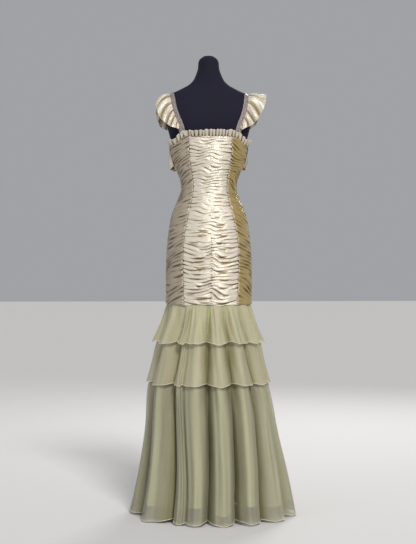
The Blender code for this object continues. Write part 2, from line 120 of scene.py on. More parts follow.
def oval(half, back, front, square, angle, out):
    """Points of a boxy oval, moved out square to it: x and y."""
    across, along = np.sin(angle), np.cos(angle)
    deep = np.where(along > 0, back, front)
    reach = ((np.abs(across) / half) ** square + (np.abs(along) / deep) ** square) ** (-1 / square)
    x, y = reach * across, reach * along
    nx = np.sign(x) * (np.abs(x) / half) ** (square - 1) / half
    ny = np.sign(y) * (np.abs(y) / deep) ** (square - 1) / deep
    size = np.hypot(nx, ny)
    return x + out * nx / size, y + out * ny / size


def figure(angle, z, out, bust_share=1.0):
    """Points that lie out from the figure. Angle, z and out may be grids."""
    angle, z, out = np.broadcast_arrays(angle, z, out)
    from_front = np.abs((angle + 2 * math.pi) % (2 * math.pi) - math.pi)
    rise = np.exp(-(((from_front - BUST_FROM_FRONT) / BUST_WIDE) ** 2))
    rise = BUST_RISE * bust_share * rise * np.exp(-(((z - BUST_Z) / BUST_TALL) ** 2))
    sizes = [section(TORSO, column, z) for column in ("half", "back", "front", "square")]
    x, y = oval(*sizes, angle, out + rise)
    return np.stack([x, y - section(TORSO, "lean", z), z], axis=-1)


def cloth_object(name, points, marks=None, ring=False, outward=True):
    """A sheet through a grid of points, with a UV map in metres. Marks are values for its material."""
    rows, columns = points.shape[:2]
    corner = np.arange(rows * columns).reshape(rows, columns)
    wrapped = points
    if ring:
        corner = np.hstack([corner, corner[:, :1]])
        wrapped = np.concatenate([points, points[:, :1]], axis=1)
    order = (0, 1, 2, 3) if outward else (3, 2, 1, 0)
    quads = [corner[:-1, :-1], corner[:-1, 1:], corner[1:, 1:], corner[1:, :-1]]
    faces = np.stack([quads[k] for k in order], axis=-1).reshape(-1, 4)
    mesh = bpy.data.meshes.new(name)
    mesh.from_pydata(points.reshape(-1, 3).tolist(), [], faces.tolist())
    steps = np.linalg.norm(np.diff(wrapped, axis=1), axis=-1).mean(axis=0)
    drops = np.linalg.norm(np.diff(wrapped, axis=0), axis=-1).mean(axis=1)
    along, down = np.append(0.0, np.cumsum(steps)), np.append(0.0, np.cumsum(drops))
    flat = np.stack(np.broadcast_arrays(along[None, :], down[:, None]), axis=-1)
    flat_quads = [flat[:-1, :-1], flat[:-1, 1:], flat[1:, 1:], flat[1:, :-1]]
    uv = np.stack([flat_quads[k] for k in order], axis=2).reshape(-1, 2)
    mesh.uv_layers.new(name="cloth").data.foreach_set("uv", uv.ravel())
    for mark, values in (marks or {}).items():
        layer = mesh.attributes.new(mark, "FLOAT", "POINT")
        layer.data.foreach_set("value", np.broadcast_to(values, (rows, columns)).ravel().astype(np.float32))
    mesh.shade_smooth()
    thing = bpy.data.objects.new(name, mesh)
    bpy.context.scene.collection.objects.link(thing)
    return thing


class Value:
    """A shader's number, which takes part in plain sums."""

    def __init__(self, finish, socket):
        self.finish, self.socket = finish, socket

    def sum(self, operation, first, second):
        return self.finish.node("ShaderNodeMath", {"operation": operation}, {0: first, 1: second})[0]

    def __add__(self, other):
        return self.sum("ADD", self, other)

    def __sub__(self, other):
        return self.sum("SUBTRACT", self, other)

    def __rsub__(self, other):
        return self.sum("SUBTRACT", other, self)

    def __mul__(self, other):
        return self.sum("MULTIPLY", self, other)

    __radd__ = __add__
    __rmul__ = __mul__


class Finish:
    """A material being put together from a few nodes."""

    def __init__(self, name, **constants):
        self.material = bpy.data.materials.new(name)
        self.material.use_nodes = True
        self.tree = self.material.node_tree
        self.shader = self.tree.nodes["Principled BSDF"]
        for socket, value in constants.items():
            self.shader.inputs[socket.replace("_", " ")].default_value = value

    def node(self, kind, settings=None, sockets=None):
        """Adds a node and returns its outputs as a list of values."""
        node = self.tree.nodes.new(kind)
        for setting, value in (settings or {}).items():
            setattr(node, setting, value)
        self.join(node, sockets or {})
        return [Value(self, output) for output in node.outputs]

    def join(self, node, sockets):
        for socket, value in sockets.items():
            if isinstance(value, Value):
                self.tree.links.new(value.socket, node.inputs[socket])
            else:
                node.inputs[socket].default_value = value

    def mark(self, name):
        """A value that the mesh holds at its points."""
        return self.node("ShaderNodeAttribute", {"attribute_name": name})[2]

    def place(self, scale=(1.0, 1.0, 1.0), flat=False):
        """Coordinates in metres, in space or along the cloth."""
        spot = self.node("ShaderNodeTexCoord")[2 if flat else 3]
        return self.node("ShaderNodeMapping", None, {"Vector": spot, "Scale": scale})[0]

    def clouds(self, place, scale, detail=2.0):
        """Soft noise about 0.5."""
        return self.node("ShaderNodeTexNoise", None, {"Vector": place, "Scale": scale, "Detail": detail})[0]

    def between(self, share, first, second):
        """A colour between two others."""
        return self.node("ShaderNodeMix", {"data_type": "RGBA"}, {0: share, 6: first, 7: second})[2]

    def spread(self, value, low, high, bottom=0.0, top=1.0):
        """Stretches the values between low and high over a new range, and holds them inside it."""
        sockets = {0: value, 1: low, 2: high, 3: bottom, 4: top}
        return self.node("ShaderNodeMapRange", None, sockets)[0]

    def relief(self, height, deep):
        sockets = {"Height": height, "Distance": deep, "Strength": 1.0}
        bump = self.node("ShaderNodeBump", None, sockets)[0]
        self.join(self.shader, {"Normal": bump})


def dress_form():
    angles = np.linspace(0, 2 * math.pi, FORM_COLUMNS, endpoint=False)[None, :]
    rise = np.linspace(0, 1, FORM_ROWS)[:, None]
    z = FORM_LOW + (TORSO[-1]["z"] - FORM_LOW) * (1 - (1 - rise) ** FORM_CLOSER_ROWS_HIGH)
    seam = np.exp(-((np.sin(angles) * section(TORSO, "half", z) / JERSEY_SEAM_WIDE) ** 2))
    seam = seam + np.exp(-(((z - NECK_CAP_Z) / JERSEY_SEAM_WIDE) ** 2))
    points = figure(angles, z, -JERSEY_SEAM_DEEP * np.minimum(seam, 1.0), FORM_BUST_SHARE)
    dome = []
    rim = TORSO[-1]
    for share in NECK_RINGS:
        reach = rim["half"] * math.cos(share * math.pi / 2)
        height = rim["z"] + (FORM_TOP - rim["z"]) * math.sin(share * math.pi / 2)
        ring = np.stack([reach * np.sin(angles[0]), reach * np.cos(angles[0]) - rim["lean"]], axis=-1)
        dome.append(np.column_stack([ring, np.full(len(ring), height)]))
    points = np.concatenate([points, np.array(dome)])
    form = cloth_object("form_cover", points, ring=True, outward=False)
    shell = bmesh.new()
    shell.from_mesh(form.data)
    bmesh.ops.holes_fill(shell, edges=[edge for edge in shell.edges if edge.is_boundary])
    closed = bpy.data.meshes.new("form_cover")
    shell.to_mesh(closed)
    shell.free()
    form.data = closed
    soft = dict(Roughness=0.85, Specular_IOR_Level=0.15, Sheen_Weight=0.03, Sheen_Roughness=0.5)
    jersey = Finish("jersey", **soft)
    knit = jersey.clouds(jersey.place((900.0, 900.0, 300.0)), 1.0, 3.0)
    worn = jersey.clouds(jersey.place(), 9.0)
    colour = jersey.between(worn, (0.006, 0.006, 0.014, 1), (0.015, 0.014, 0.028, 1))
    jersey.join(jersey.shader, {"Base Color": colour, "Roughness": jersey.spread(worn, 0.2, 0.8, 0.74, 0.9)})
    jersey.relief(knit, JERSEY_KNIT_DEEP)
    form.data.materials.append(jersey.material)
    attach(form, "root")
    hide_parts("dress_form")


dress_form()


# The stand: a steel tube up into the form and a round plate on the floor, both in black paint.
# The tube is held in a socket under the form and screwed to the plate.
PAINT_GRAIN_DEEP = 0.00015


def stand():
    paint = Finish("stand_paint", Roughness=0.42, Coat_Weight=0.3, Coat_Roughness=0.25)
    place = paint.place()
    grain = paint.clouds(place, 700.0)
    dust = paint.clouds(place, 14.0, 5.0)
    colour = paint.between(paint.spread(dust, 0.45, 0.75), (0.014, 0.014, 0.017, 1), (0.05, 0.05, 0.052, 1))
    rough = paint.spread(dust, 0.3, 0.8, 0.34, 0.6)
    paint.join(paint.shader, {"Base Color": colour, "Roughness": rough})
    paint.relief(grain, PAINT_GRAIN_DEEP)
    for node in ("stand_pole", "stand_base"):
        for holder in bpy.data.objects[node].material_slots:
            holder.material = paint.material


stand()


# The fitted body: five panels of champagne satin, gathered up along their seams so that the cloth lies in
# close folds that overlap like shingles. They hang in shallow swags on the back and fall away to the sides.
EASE = 0.0038
SATIN_WALL = 0.0015
BODY_HEM_Z = 0.7462
NECK_EDGE_Z = 1.338
UNDERARM_DROP = 0.026
EDGE_LEVEL_TO_X = 0.085
EDGE_DROP_WIDTH = 0.045
RIDGE = 0.0050
CLEAR_OF_FORM = 0.0009
RUCHE_FOLDS = 39.0
CLOSER_FOLDS_HIGH = 0.21
LIP = 0.17
FINE_FOLDS_PER_FOLD = 2.3
FINE_FOLD_DEEP = 0.0011
HEM_BELOW_SEAM = 0.0030
CREASE_ABOVE, CREASE_BELOW = 0.0016, 0.0036
CREASE_LIP, CREASE_LIP_AWAY, CREASE_LIP_WIDE = 0.0016, 0.0050, 0.0030
SEAM_GROOVE, SEAM_GROOVE_WIDE = 0.0020, 0.0014
# The small tucks where the cloth is gathered into a seam
TUCK_PITCH, TUCK_HIGH = 0.0078, 0.0018
TUCKS_REACH, TUCKS_REACH_AT_CENTRE = 0.0070, 0.0095
# How wide the painted shade of the side panels blends into the back, in tongues along the creases
SIDE_SHADE_BLEND = 0.011
FORM_ROUND = 0.14
SIDE_SEAM = math.radians(44)
PANELS = [
    dict(node="back_left", start=0, end=44, columns=64, rows=500,
         sag=0.010, tilt=0.0, low=0.0060, high=0.0030),
    dict(node="back_right", start=-44, end=0, columns=64, rows=500,
         sag=0.009, tilt=0.0, low=0.0060, high=0.0030),
    dict(node="side_left", start=44, end=90, columns=70, rows=470,
         sag=0.0, tilt=-0.040, low=0.0055, high=0.0042),
    dict(node="side_right", start=-90, end=-44, columns=70, rows=470,
         sag=0.0, tilt=0.040, low=0.0052, high=0.0036),
    dict(node="front", start=90, end=270, columns=190, rows=400,
         sag=0.020, tilt=0.0, low=0.0055, high=0.0038),
]
# The deepest creases of the back, by height, with where they start and end across the panel
MAIN_CREASES = {
    "back_left": [
        dict(z=1.005, start=0.04, end=0.64, sag=0.002, deep=0.0040),
        dict(z=0.989, start=0.07, end=0.64, sag=0.003, deep=0.0036),
        dict(z=0.964, start=0.37, end=0.88, sag=0.003, deep=0.0036),
        dict(z=0.940, start=0.07, end=0.54, sag=0.003, deep=0.0038),
        dict(z=0.910, start=0.07, end=0.71, sag=0.005, deep=0.0042),
        dict(z=0.897, start=0.17, end=0.71, sag=0.004, deep=0.0054),
        dict(z=0.876, start=0.07, end=0.74, sag=0.006, deep=0.0058),
        dict(z=0.869, start=0.34, end=0.54, sag=0.002, deep=0.0036),
        dict(z=0.852, start=0.31, end=0.78, sag=0.004, deep=0.0044),
        dict(z=0.812, start=0.34, end=0.61, sag=0.004, deep=0.0054),
        dict(z=0.784, start=0.54, end=1.00, sag=0.001, deep=0.0044),
        dict(z=0.769, start=0.00, end=0.78, sag=0.002, deep=0.0042),
        dict(z=0.752, start=0.00, end=0.54, sag=0.003, deep=0.0050),
    ],
    "back_right": [
        dict(z=1.053, start=0.55, end=0.88, sag=0.002, deep=0.0036),
        dict(z=1.025, start=0.32, end=0.88, sag=0.002, deep=0.0040),
        dict(z=1.007, start=0.29, end=0.88, sag=0.002, deep=0.0038),
        dict(z=0.987, start=0.29, end=0.78, sag=0.002, deep=0.0054),
        dict(z=0.962, start=0.55, end=0.88, sag=0.003, deep=0.0040),
        dict(z=0.940, start=0.35, end=0.81, sag=0.003, deep=0.0042),
        dict(z=0.913, start=0.35, end=0.88, sag=0.003, deep=0.0038),
        dict(z=0.895, start=0.29, end=0.74, sag=0.004, deep=0.0048),
        dict(z=0.861, start=0.32, end=0.84, sag=0.004, deep=0.0050),
        dict(z=0.833, start=0.22, end=0.81, sag=0.005, deep=0.0056),
        dict(z=0.804, start=0.26, end=0.81, sag=0.004, deep=0.0056),
        dict(z=0.778, start=0.29, end=0.61, sag=0.003, deep=0.0038),
        dict(z=0.753, start=0.22, end=0.88, sag=0.008, deep=0.0052),
    ],
}


def neck_edge_z(angle):
    """The gown's upper edge: level across the back and front, lower under the arms."""
    x = figure(angle, NECK_EDGE_Z, EASE)[..., 0]
    return NECK_EDGE_Z - UNDERARM_DROP * ramp((np.abs(x) - EDGE_LEVEL_TO_X) / EDGE_DROP_WIDTH)


def shingled(along, z, count, seed, waviness, spread):
    """Cloth gathered into folds that overlap: how far in it lies, 0 to about 1, and how deep in a crease."""
    chance = np.random.default_rng(seed)
    drift = 0.0
    for k in range(8):
        near, far, turn = chance.uniform(8, 62), chance.uniform(8, 60), chance.uniform(0, 6.3)
        size = waviness * chance.uniform(0.4, 1.0) / (1 + 0.05 * near)
        drift = drift + size * np.sin(near * along + far * z + turn)
    phase = count + drift
    number = np.floor(phase).astype(int)
    part = phase - number
    first = number.min()
    turns = chance.uniform(0, 6.3, (2, number.max() - first + 2))
    pace = chance.uniform(0.75, 1.3, (2, number.max() - first + 2))

    def depth(of):
        slow = np.sin(34 * pace[0][of] * along + turns[0][of])
        fast = np.sin(88 * pace[1][of] * along + turns[1][of])
        return np.clip(0.58 + spread * (0.7 * slow + 0.45 * fast), 0.04, 1.15)

    here, above = depth(number - first), depth(number - first + 1)
    upper = np.clip((part - LIP) / (1 - LIP), 0, 1)
    inward = here * (1 - ramp(part / LIP)) + above * upper**1.5
    crease = here * np.exp(-part / 0.15) + above * np.exp(-(1 - part) / 0.10)
    return inward, crease


def panel_cloth(panel):
    """The panel's points, its marks for painted shade in the creases and on the sides, and the smooth surface
    that its cut follows.
    """
    across = np.linspace(0, 1, panel["columns"] + 1)[None, :]
    down = np.linspace(0, 1, panel["rows"])[:, None]
    angles = np.radians(panel["start"] + (panel["end"] - panel["start"]) * across)
    along = angles * FORM_ROUND
    top = neck_edge_z(angles)
    hem = BODY_HEM_Z - HEM_BELOW_SEAM + 0.0016 * np.sin(95 * along + 1) + 0.0012 * np.sin(41 * along)
    z = top - (top - hem) * down
    lower = ramp((1.02 - z) / 0.10)

    level = z - panel["tilt"] * (across - 0.5)
    level = level + panel["sag"] * (0.12 + 0.88 * lower) * (1 - (2 * across - 1) ** 2)
    rise = (level - BODY_HEM_Z) / (NECK_EDGE_Z - BODY_HEM_Z)
    count = RUCHE_FOLDS * (rise + CLOSER_FOLDS_HIGH * rise**2)
    seed = 7 if panel["node"].startswith("back") else panel["columns"] + panel["start"] + 200
    inward, crease = shingled(along, z, count, seed, 0.62, 0.62)
    fine_inward, fine_crease = shingled(along, z, FINE_FOLDS_PER_FOLD * count, seed + 1, 1.3, 0.9)
    deep = panel["high"] + (panel["low"] - panel["high"]) * lower
    relief = RIDGE - deep * inward - FINE_FOLD_DEEP * fine_inward
    crease = crease + 0.22 * fine_crease

    for row in MAIN_CREASES.get(panel["node"], []):
        half = (row["end"] - row["start"]) / 2
        share = (across - row["start"]) / half - 1
        away = z - row["z"] + row["sag"] * (1 - np.clip(share, -1.2, 1.2) ** 2) - row["sag"] / 2
        taper = ramp((1 - np.abs(share)) / 0.75)
        wide = np.where(away > 0, CREASE_ABOVE, CREASE_BELOW) * (0.35 + 0.65 * taper)
        cut = taper * np.exp(-np.sqrt((away / wide) ** 2 + 0.02))
        lip = taper * np.exp(-(((away - CREASE_LIP_AWAY) / CREASE_LIP_WIDE) ** 2))
        relief = relief - row["deep"] * cut + CREASE_LIP * lip
        crease = crease + 1.0 * cut - 0.4 * lip

    reach = np.radians(panel["end"] - panel["start"]) * section(TORSO, "half", z)
    nearest = np.minimum(across, 1 - across) * reach
    uneven = 0.6 * np.sin(61 * z) + 0.35 * np.sin(143 * z + panel["start"])
    tucks = np.sin(2 * math.pi * (level / TUCK_PITCH + uneven))
    centre = panel["node"].startswith("back") & (np.abs(angles) < math.radians(20))
    held = np.where(centre, 0.10 + 0.90 * lower, 1.0)
    near_seam = np.exp(-nearest / np.where(centre, TUCKS_REACH_AT_CENTRE, TUCKS_REACH)) * held
    groove = np.where(centre, 0.35, 1.0) * SEAM_GROOVE * held
    relief = relief + TUCK_HIGH * near_seam * tucks - groove * np.exp(-nearest / SEAM_GROOVE_WIDE)
    crease = crease + 0.36 * near_seam * (0.35 - tucks)

    relief = relief * (0.45 + 0.55 * ramp((z - hem) / 0.004))
    out = np.maximum(EASE + SATIN_WALL + relief, CLEAR_OF_FORM)
    # Painted shade on the side panels: past the side seams the satin takes darker colours, reaching into the
    # back along creases and fading out towards the front.
    from_back = np.abs((angles + math.pi) % (2 * math.pi) - math.pi)
    past_seam = (from_back - SIDE_SEAM) * section(TORSO, "half", z)
    painted_side_share = ramp(0.5 + (past_seam + SIDE_SHADE_BLEND * (np.clip(crease, 0, 1) - 0.35)) / SIDE_SHADE_BLEND)
    painted_side_share = painted_side_share * (1 - 0.75 * ramp((from_back - math.radians(72)) / math.radians(38)))
    # The crease mark paints shade into the satin's creases; the side mark paints shade on the side panels.
    marks = {"crease": np.clip(crease, 0, 1.3), "painted_side_share": painted_side_share}
    return figure(angles, z, out), marks, figure(angles, z, EASE)


def satin(name, light, shade, seed, side_light=None, side_shade=None):
    """Lustrous champagne satin. Painted shade darkens its folds' hollows to a deep gold, and painted shade
    makes the side panels deeper in tone.
    """
    finish = Finish(name, Metallic=0.30, Specular_IOR_Level=0.6, Sheen_Weight=0.10, Sheen_Roughness=0.3)
    crease = finish.mark("crease")
    streaks = finish.clouds(finish.place((45.0, 45.0, 380.0)), 1.0, 3.0)
    patches = finish.clouds(finish.place(), 7.0 + 0.1 * seed)
    threads = finish.node(
        "ShaderNodeTexWave", {"bands_direction": "Y"}, {"Vector": finish.place(flat=True), "Scale": 420.0}
    )[1]
    # Painted shade: the crease mark, broken up by random streaks, darkens the satin towards a deep gold in its
    # hollows.
    painted_shade = finish.spread(crease + (streaks - 0.5) * 0.5, 0.10, 0.95)
    colour = finish.between(painted_shade, light, shade)
    # The side panels take a darker pair of colours, which is painted shade.
    if side_light:
        colour = finish.between(finish.mark("painted_side_share"), colour, finish.between(painted_shade, side_light, side_shade))
    colour = finish.between(finish.spread(patches, 0.45, 0.75, 0.0, 0.25), colour, (0.46, 0.41, 0.33, 1))
    rough = finish.spread(streaks, 0.25, 0.75, 0.30, 0.42) + crease * 0.12
    finish.join(finish.shader, {"Base Color": colour, "Roughness": rough})
    finish.relief(streaks * 0.8 + threads * 0.10, SATIN_RELIEF)
    return finish.material


LIGHT_SATIN = (0.68, 0.625, 0.525, 1)
# The deep gold that paints shade into the satin's creases
PAINTED_CREASE_SHADE = (0.24, 0.155, 0.042, 1)
SATIN_RELIEF = 0.0011
# Painted shade of the side panels, for ridges and hollows: greyish brown on the left, deep gold on the right
LEFT_SIDE_PAINTED_SHADE = ((0.42, 0.355, 0.265, 1), (0.10, 0.068, 0.030, 1))
RIGHT_SIDE_PAINTED_SHADE = ((0.40, 0.30, 0.12, 1), (0.12, 0.075, 0.014, 1))


def row_widths(points):
    """The length of each row of a grid of points."""
    return np.linalg.norm(np.diff(points, axis=1), axis=-1).sum(axis=1)


def ruched_panel(panel):
    points, marks, smooth = panel_cloth(panel)
    piece = cloth_object("satin_" + panel["node"], points, marks, outward=False)
    side = RIGHT_SIDE_PAINTED_SHADE if panel["start"] < 0 else LEFT_SIDE_PAINTED_SHADE
    piece.data.materials.append(satin("satin_" + panel["node"], LIGHT_SATIN, PAINTED_CREASE_SHADE, 4, *side))
    widths = row_widths(smooth)
    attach(piece, "root")
    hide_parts(panel["node"])


for row in PANELS:
    ruched_panel(row)


# The bust flounce: a loose satin flounce across the front, sewn in at the upper edge.
# Its ends stand out at the sides, where they show from the back as small puffs.
FLOUNCE = [
    dict(z=1.3085, out=0.0100, wave=0.0002),
    dict(z=1.285, out=0.0118, wave=0.0016),
    dict(z=1.258, out=0.0148, wave=0.0030),
    dict(z=1.228, out=0.0238, wave=0.0058),
]
FLOUNCE_ANGLES = (84, 276)
FLOUNCE_COLUMNS, FLOUNCE_ROWS = 360, 34
FLOUNCE_WAVES = 8
FLOUNCE_GATHERS = 62
FLOUNCE_GATHER_HIGH = 0.0012
FLOUNCE_PUFF = 0.0065
FLOUNCE_END_LIFT = 0.0100
FLOUNCE_WALL = 0.0007
FLOUNCE_SATIN = (0.64, 0.57, 0.44, 1)


def line_length(points):
    return float(np.linalg.norm(np.diff(points, axis=0), axis=-1).sum())


def give_wall(piece, thick, offset=-1.0):
    """Makes a sheet a wall, inwards from its face or, with no offset, to both sides."""
    wall = piece.modifiers.new("wall", "SOLIDIFY")
    wall.thickness = thick
    wall.offset = offset


def bust_flounce():
    share = np.linspace(0, 1, FLOUNCE_COLUMNS)[None, :]
    z = np.linspace(FLOUNCE[0]["z"], FLOUNCE[-1]["z"], FLOUNCE_ROWS)[:, None]
    low = (FLOUNCE[0]["z"] - z) / (FLOUNCE[0]["z"] - FLOUNCE[-1]["z"])
    angles = np.radians(FLOUNCE_ANGLES[0] + (FLOUNCE_ANGLES[1] - FLOUNCE_ANGLES[0]) * share)
    turn = 2 * math.pi * FLOUNCE_WAVES * (share + 0.012 * np.sin(19 * share + 1))
    wave = section(FLOUNCE, "wave", z) * (np.sin(turn) + 0.35 * np.sin(2.7 * turn + 2))
    gather = np.sin(2 * math.pi * FLOUNCE_GATHERS * share + 2 * np.sin(23 * share)) * (1 - 0.8 * low)
    gather = FLOUNCE_GATHER_HIGH * gather
    from_end = np.minimum(share, 1 - share) / 0.045
    puff = FLOUNCE_PUFF * np.exp(-(((from_end - 0.55) / 0.35) ** 2)) * np.exp(-(((low - 0.66) / 0.24) ** 2))
    hem = 0.0022 * np.sin(turn * 1.3 + 1) * low**3 + FLOUNCE_END_LIFT * (1 - ramp(from_end)) * low
    on_body = EASE + SATIN_WALL + RIDGE + 0.0004
    out = np.maximum(section(FLOUNCE, "out", z) + wave + gather, on_body)
    close = np.where(share > 0.5, ramp((low - 0.35) / 0.3), 1.0)
    lifted = (out - on_body) * ramp(from_end) * (close + (1 - close) * ramp(from_end - 1.5))
    points = figure(angles, z + hem, on_body + lifted + puff)
    # Painted shade: the flounce is darker where its waves and gathers turn inwards.
    painted_shade = np.clip(0.40 - 0.55 * np.sin(turn) * low - 300 * gather * (1 - 0.6 * low), 0, 1)
    piece = cloth_object("satin_bust_flounce", points, {"crease": painted_shade}, outward=False)
    give_wall(piece, FLOUNCE_WALL)
    piece.data.materials.append(satin("satin_flounce", FLOUNCE_SATIN, PAINTED_CREASE_SHADE, 5))
    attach(piece, "root")
    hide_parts("bust_flounce")
    long = line_length(points[-1])


bust_flounce()


# The neck frill: a narrow strip of satin, pleated into close loops and sewn upright on the upper edge.
# Two rows of small gathering stitches hold its foot.
FRILL_TALL = 0.021
FRILL_LOOPS = 54
FRILL_FOOT = EASE + SATIN_WALL + 0.0021
FRILL_LEAN = 0.0055
FRILL_DEEP = 0.0115
FRILL_SET_IN = 0.0022
FRILL_WALL = 0.0006
FRILL_COLUMNS, FRILL_ROWS = 462, 13


def frill_points(turns, up):
    """Points of the frill and its marks for painted shade between the loops, by share round the edge and share
    of its height.
    """
    chance = np.random.default_rng(3)
    bounds = np.cumsum(np.append(0.0, chance.uniform(0.6, 1.4, FRILL_LOOPS)))
    bounds = bounds / bounds[-1]
    deeps = chance.uniform(0.55, 1.25, FRILL_LOOPS + 1)
    lifts = chance.uniform(-0.0045, 0.0040, FRILL_LOOPS + 1)
    leans = chance.uniform(-0.60, 0.60, FRILL_LOOPS + 1)
    turns = np.mod(turns + 0.25, 1.0)
    loop = np.clip(np.searchsorted(bounds, turns, side="right") - 1, 0, FRILL_LOOPS - 1)
    part = (turns - bounds[loop]) / (bounds[loop + 1] - bounds[loop])
    bell = np.sin(math.pi * part) ** 1.1
    deep = FRILL_DEEP * (0.45 + 0.55 * up) * bell * deeps[loop]
    slide = (-0.20 * np.sin(2 * math.pi * part) + 0.5 * leans[loop] * bell) * up
    angles = 2 * math.pi * (turns - 0.25 + slide * (bounds[loop + 1] - bounds[loop]))
    edge = neck_edge_z(angles)
    points = figure(angles, edge, FRILL_FOOT + FRILL_LEAN * up + deep - FRILL_SET_IN)
    points[..., 2] = edge + 0.0003 + FRILL_TALL * up + (lifts[loop] * bell - 0.0030 * (1 - bell)) * up**2
    # The crease mark paints shade into the gaps between the loops.
    return points, np.clip(1.45 - 1.7 * bell * (0.75 + 0.25 * up), 0, 1.2)


def neck_frill(node, start, end):
    turns = np.linspace(start, end, FRILL_COLUMNS + 1)[None, :]
    up = np.linspace(1, 0, FRILL_ROWS)[:, None]
    points, painted_shade = frill_points(turns, up)
    piece = cloth_object("satin_" + node, points, {"crease": painted_shade}, outward=False)
    give_wall(piece, FRILL_WALL)
    piece.data.materials.append(satin("satin_" + node, LIGHT_SATIN, PAINTED_CREASE_SHADE, 8))
    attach(piece, "root")
    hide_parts(node)
    widths = row_widths(points)


neck_frill("neck_frill_back", -0.25, 0.25)
neck_frill("neck_frill_front", 0.25, 0.75)


# Stitches and rolled edges: sewing thread laid in small stitches along a line, and a narrow rolled hem.
# Both follow a line of points, so one tree of nodes makes the stitches and another the rolls.
FRILL_STITCH_DROPS = (0.0022, 0.0056)
FRILL_STITCH = dict(Pitch=0.0046, Length=0.0026, Radius=0.00028)


def line_object(points, closed=False):
    """A chain of edges through points, for the node trees to follow."""
    count = len(points)
    edges = [(k, k + 1) for k in range(count - 1)] + ([(count - 1, 0)] if closed else [])
    mesh = bpy.data.meshes.new("line")
    mesh.from_pydata([tuple(point) for point in points], edges, [])
    thing = bpy.data.objects.new("line", mesh)
    bpy.context.scene.collection.objects.link(thing)
    return thing


def node_tree(name, sizes):
    """An empty tree of geometry nodes with named number inputs."""
    tree = bpy.data.node_groups.new(name, "GeometryNodeTree")
    tree.interface.new_socket("Geometry", in_out="INPUT", socket_type="NodeSocketGeometry")
    for size in sizes:
        tree.interface.new_socket(size, in_out="INPUT", socket_type="NodeSocketFloat")
    tree.interface.new_socket("Material", in_out="INPUT", socket_type="NodeSocketMaterial")
    tree.interface.new_socket("Geometry", in_out="OUTPUT", socket_type="NodeSocketGeometry")
    return tree


def add(tree, kind, links, settings=None):
    """Adds a node to a tree. Links give its sockets a value or another node's output."""
    node = tree.nodes.new(kind)
    for setting, value in (settings or {}).items():
        setattr(node, setting, value)
    for socket, value in links.items():
        if isinstance(value, bpy.types.NodeSocket):
            tree.links.new(value, node.inputs[socket])
        else:
            node.inputs[socket].default_value = value
    return node


def close_tree(tree, given, geometry):
    """Ends a tree in plain geometry with its material."""
    whole = add(tree, "GeometryNodeRealizeInstances", {"Geometry": geometry})
    smooth = add(tree, "GeometryNodeSetShadeSmooth", {"Geometry": whole.outputs[0]})
    coat = {"Geometry": smooth.outputs[0], "Material": given["Material"]}
    painted = add(tree, "GeometryNodeSetMaterial", coat)
    end = tree.nodes.new("NodeGroupOutput")
    tree.links.new(painted.outputs[0], end.inputs[0])


def rolled_edge_tree():
    tree = node_tree("rolled_edge", ["Radius", "Sides"])
    given = tree.nodes.new("NodeGroupInput").outputs
    path = add(tree, "GeometryNodeMeshToCurve", {"Mesh": given["Geometry"]})
    ring = add(tree, "GeometryNodeCurvePrimitiveCircle", {"Resolution": 6, "Radius": given["Radius"]})
    tree.links.new(given["Sides"], ring.inputs["Resolution"])
    swept = {"Curve": path.outputs[0], "Profile Curve": ring.outputs[0], "Fill Caps": True}
    roll = add(tree, "GeometryNodeCurveToMesh", swept)
    close_tree(tree, given, roll.outputs[0])
    return tree


def stitch_tree():
    tree = node_tree("stitches", ["Pitch", "Length", "Radius"])
    given = tree.nodes.new("NodeGroupInput").outputs
    path = add(tree, "GeometryNodeMeshToCurve", {"Mesh": given["Geometry"]})
    spacing = {"Curve": path.outputs[0], "Length": given["Pitch"]}
    spots = add(tree, "GeometryNodeCurveToPoints", spacing, {"mode": "LENGTH"})
    sizes = {"Vertices": 5, "Radius": given["Radius"], "Depth": given["Length"]}
    thread = add(tree, "GeometryNodeMeshCylinder", sizes)
    where = {"Points": spots.outputs["Points"], "Rotation": spots.outputs["Rotation"]}
    laid = add(tree, "GeometryNodeInstanceOnPoints", {**where, "Instance": thread.outputs["Mesh"]})
    close_tree(tree, given, laid.outputs[0])
    return tree


def made_by_nodes(name, source, tree, material, **sizes):
    """Runs a tree on a source object and keeps the result as a plain mesh."""
    modifier = source.modifiers.new("nodes", "NODES")
    modifier.node_group = tree
    for item in tree.interface.items_tree:
        if item.in_out == "INPUT" and item.name in sizes:
            modifier[item.identifier] = float(sizes[item.name])
        if item.in_out == "INPUT" and item.name == "Material":
            modifier[item.identifier] = material
    deps = bpy.context.evaluated_depsgraph_get()
    mesh = bpy.data.meshes.new_from_object(source.evaluated_get(deps))
    mesh.name = name
    bpy.data.objects.remove(source, do_unlink=True)
    thing = bpy.data.objects.new(name, mesh)
    bpy.context.scene.collection.objects.link(thing)
    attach(thing, "root")
    return thing


def thread_finish():
    finish = Finish("thread", Roughness=0.55, Sheen_Weight=0.3)
    twist = finish.clouds(finish.place(), 900.0)
    colour = finish.between(twist, (0.66, 0.58, 0.40, 1), (0.80, 0.73, 0.56, 1))
    finish.join(finish.shader, {"Base Color": colour})
    return finish.material


STITCHES = stitch_tree()
ROLLED_EDGE = rolled_edge_tree()
THREAD = thread_finish()


def frill_stitches():
    turns = np.linspace(0, 1, 900, endpoint=False)
    for number, drop in enumerate(FRILL_STITCH_DROPS):
        edge = neck_edge_z(2 * math.pi * turns)
        line = figure(2 * math.pi * turns, edge - drop, EASE + SATIN_WALL + RIDGE + 0.0003)
        source = line_object(line, closed=True)
        stitches = made_by_nodes(f"frill_stitches_{number + 1}", source, STITCHES, THREAD, **FRILL_STITCH)


frill_stitches()


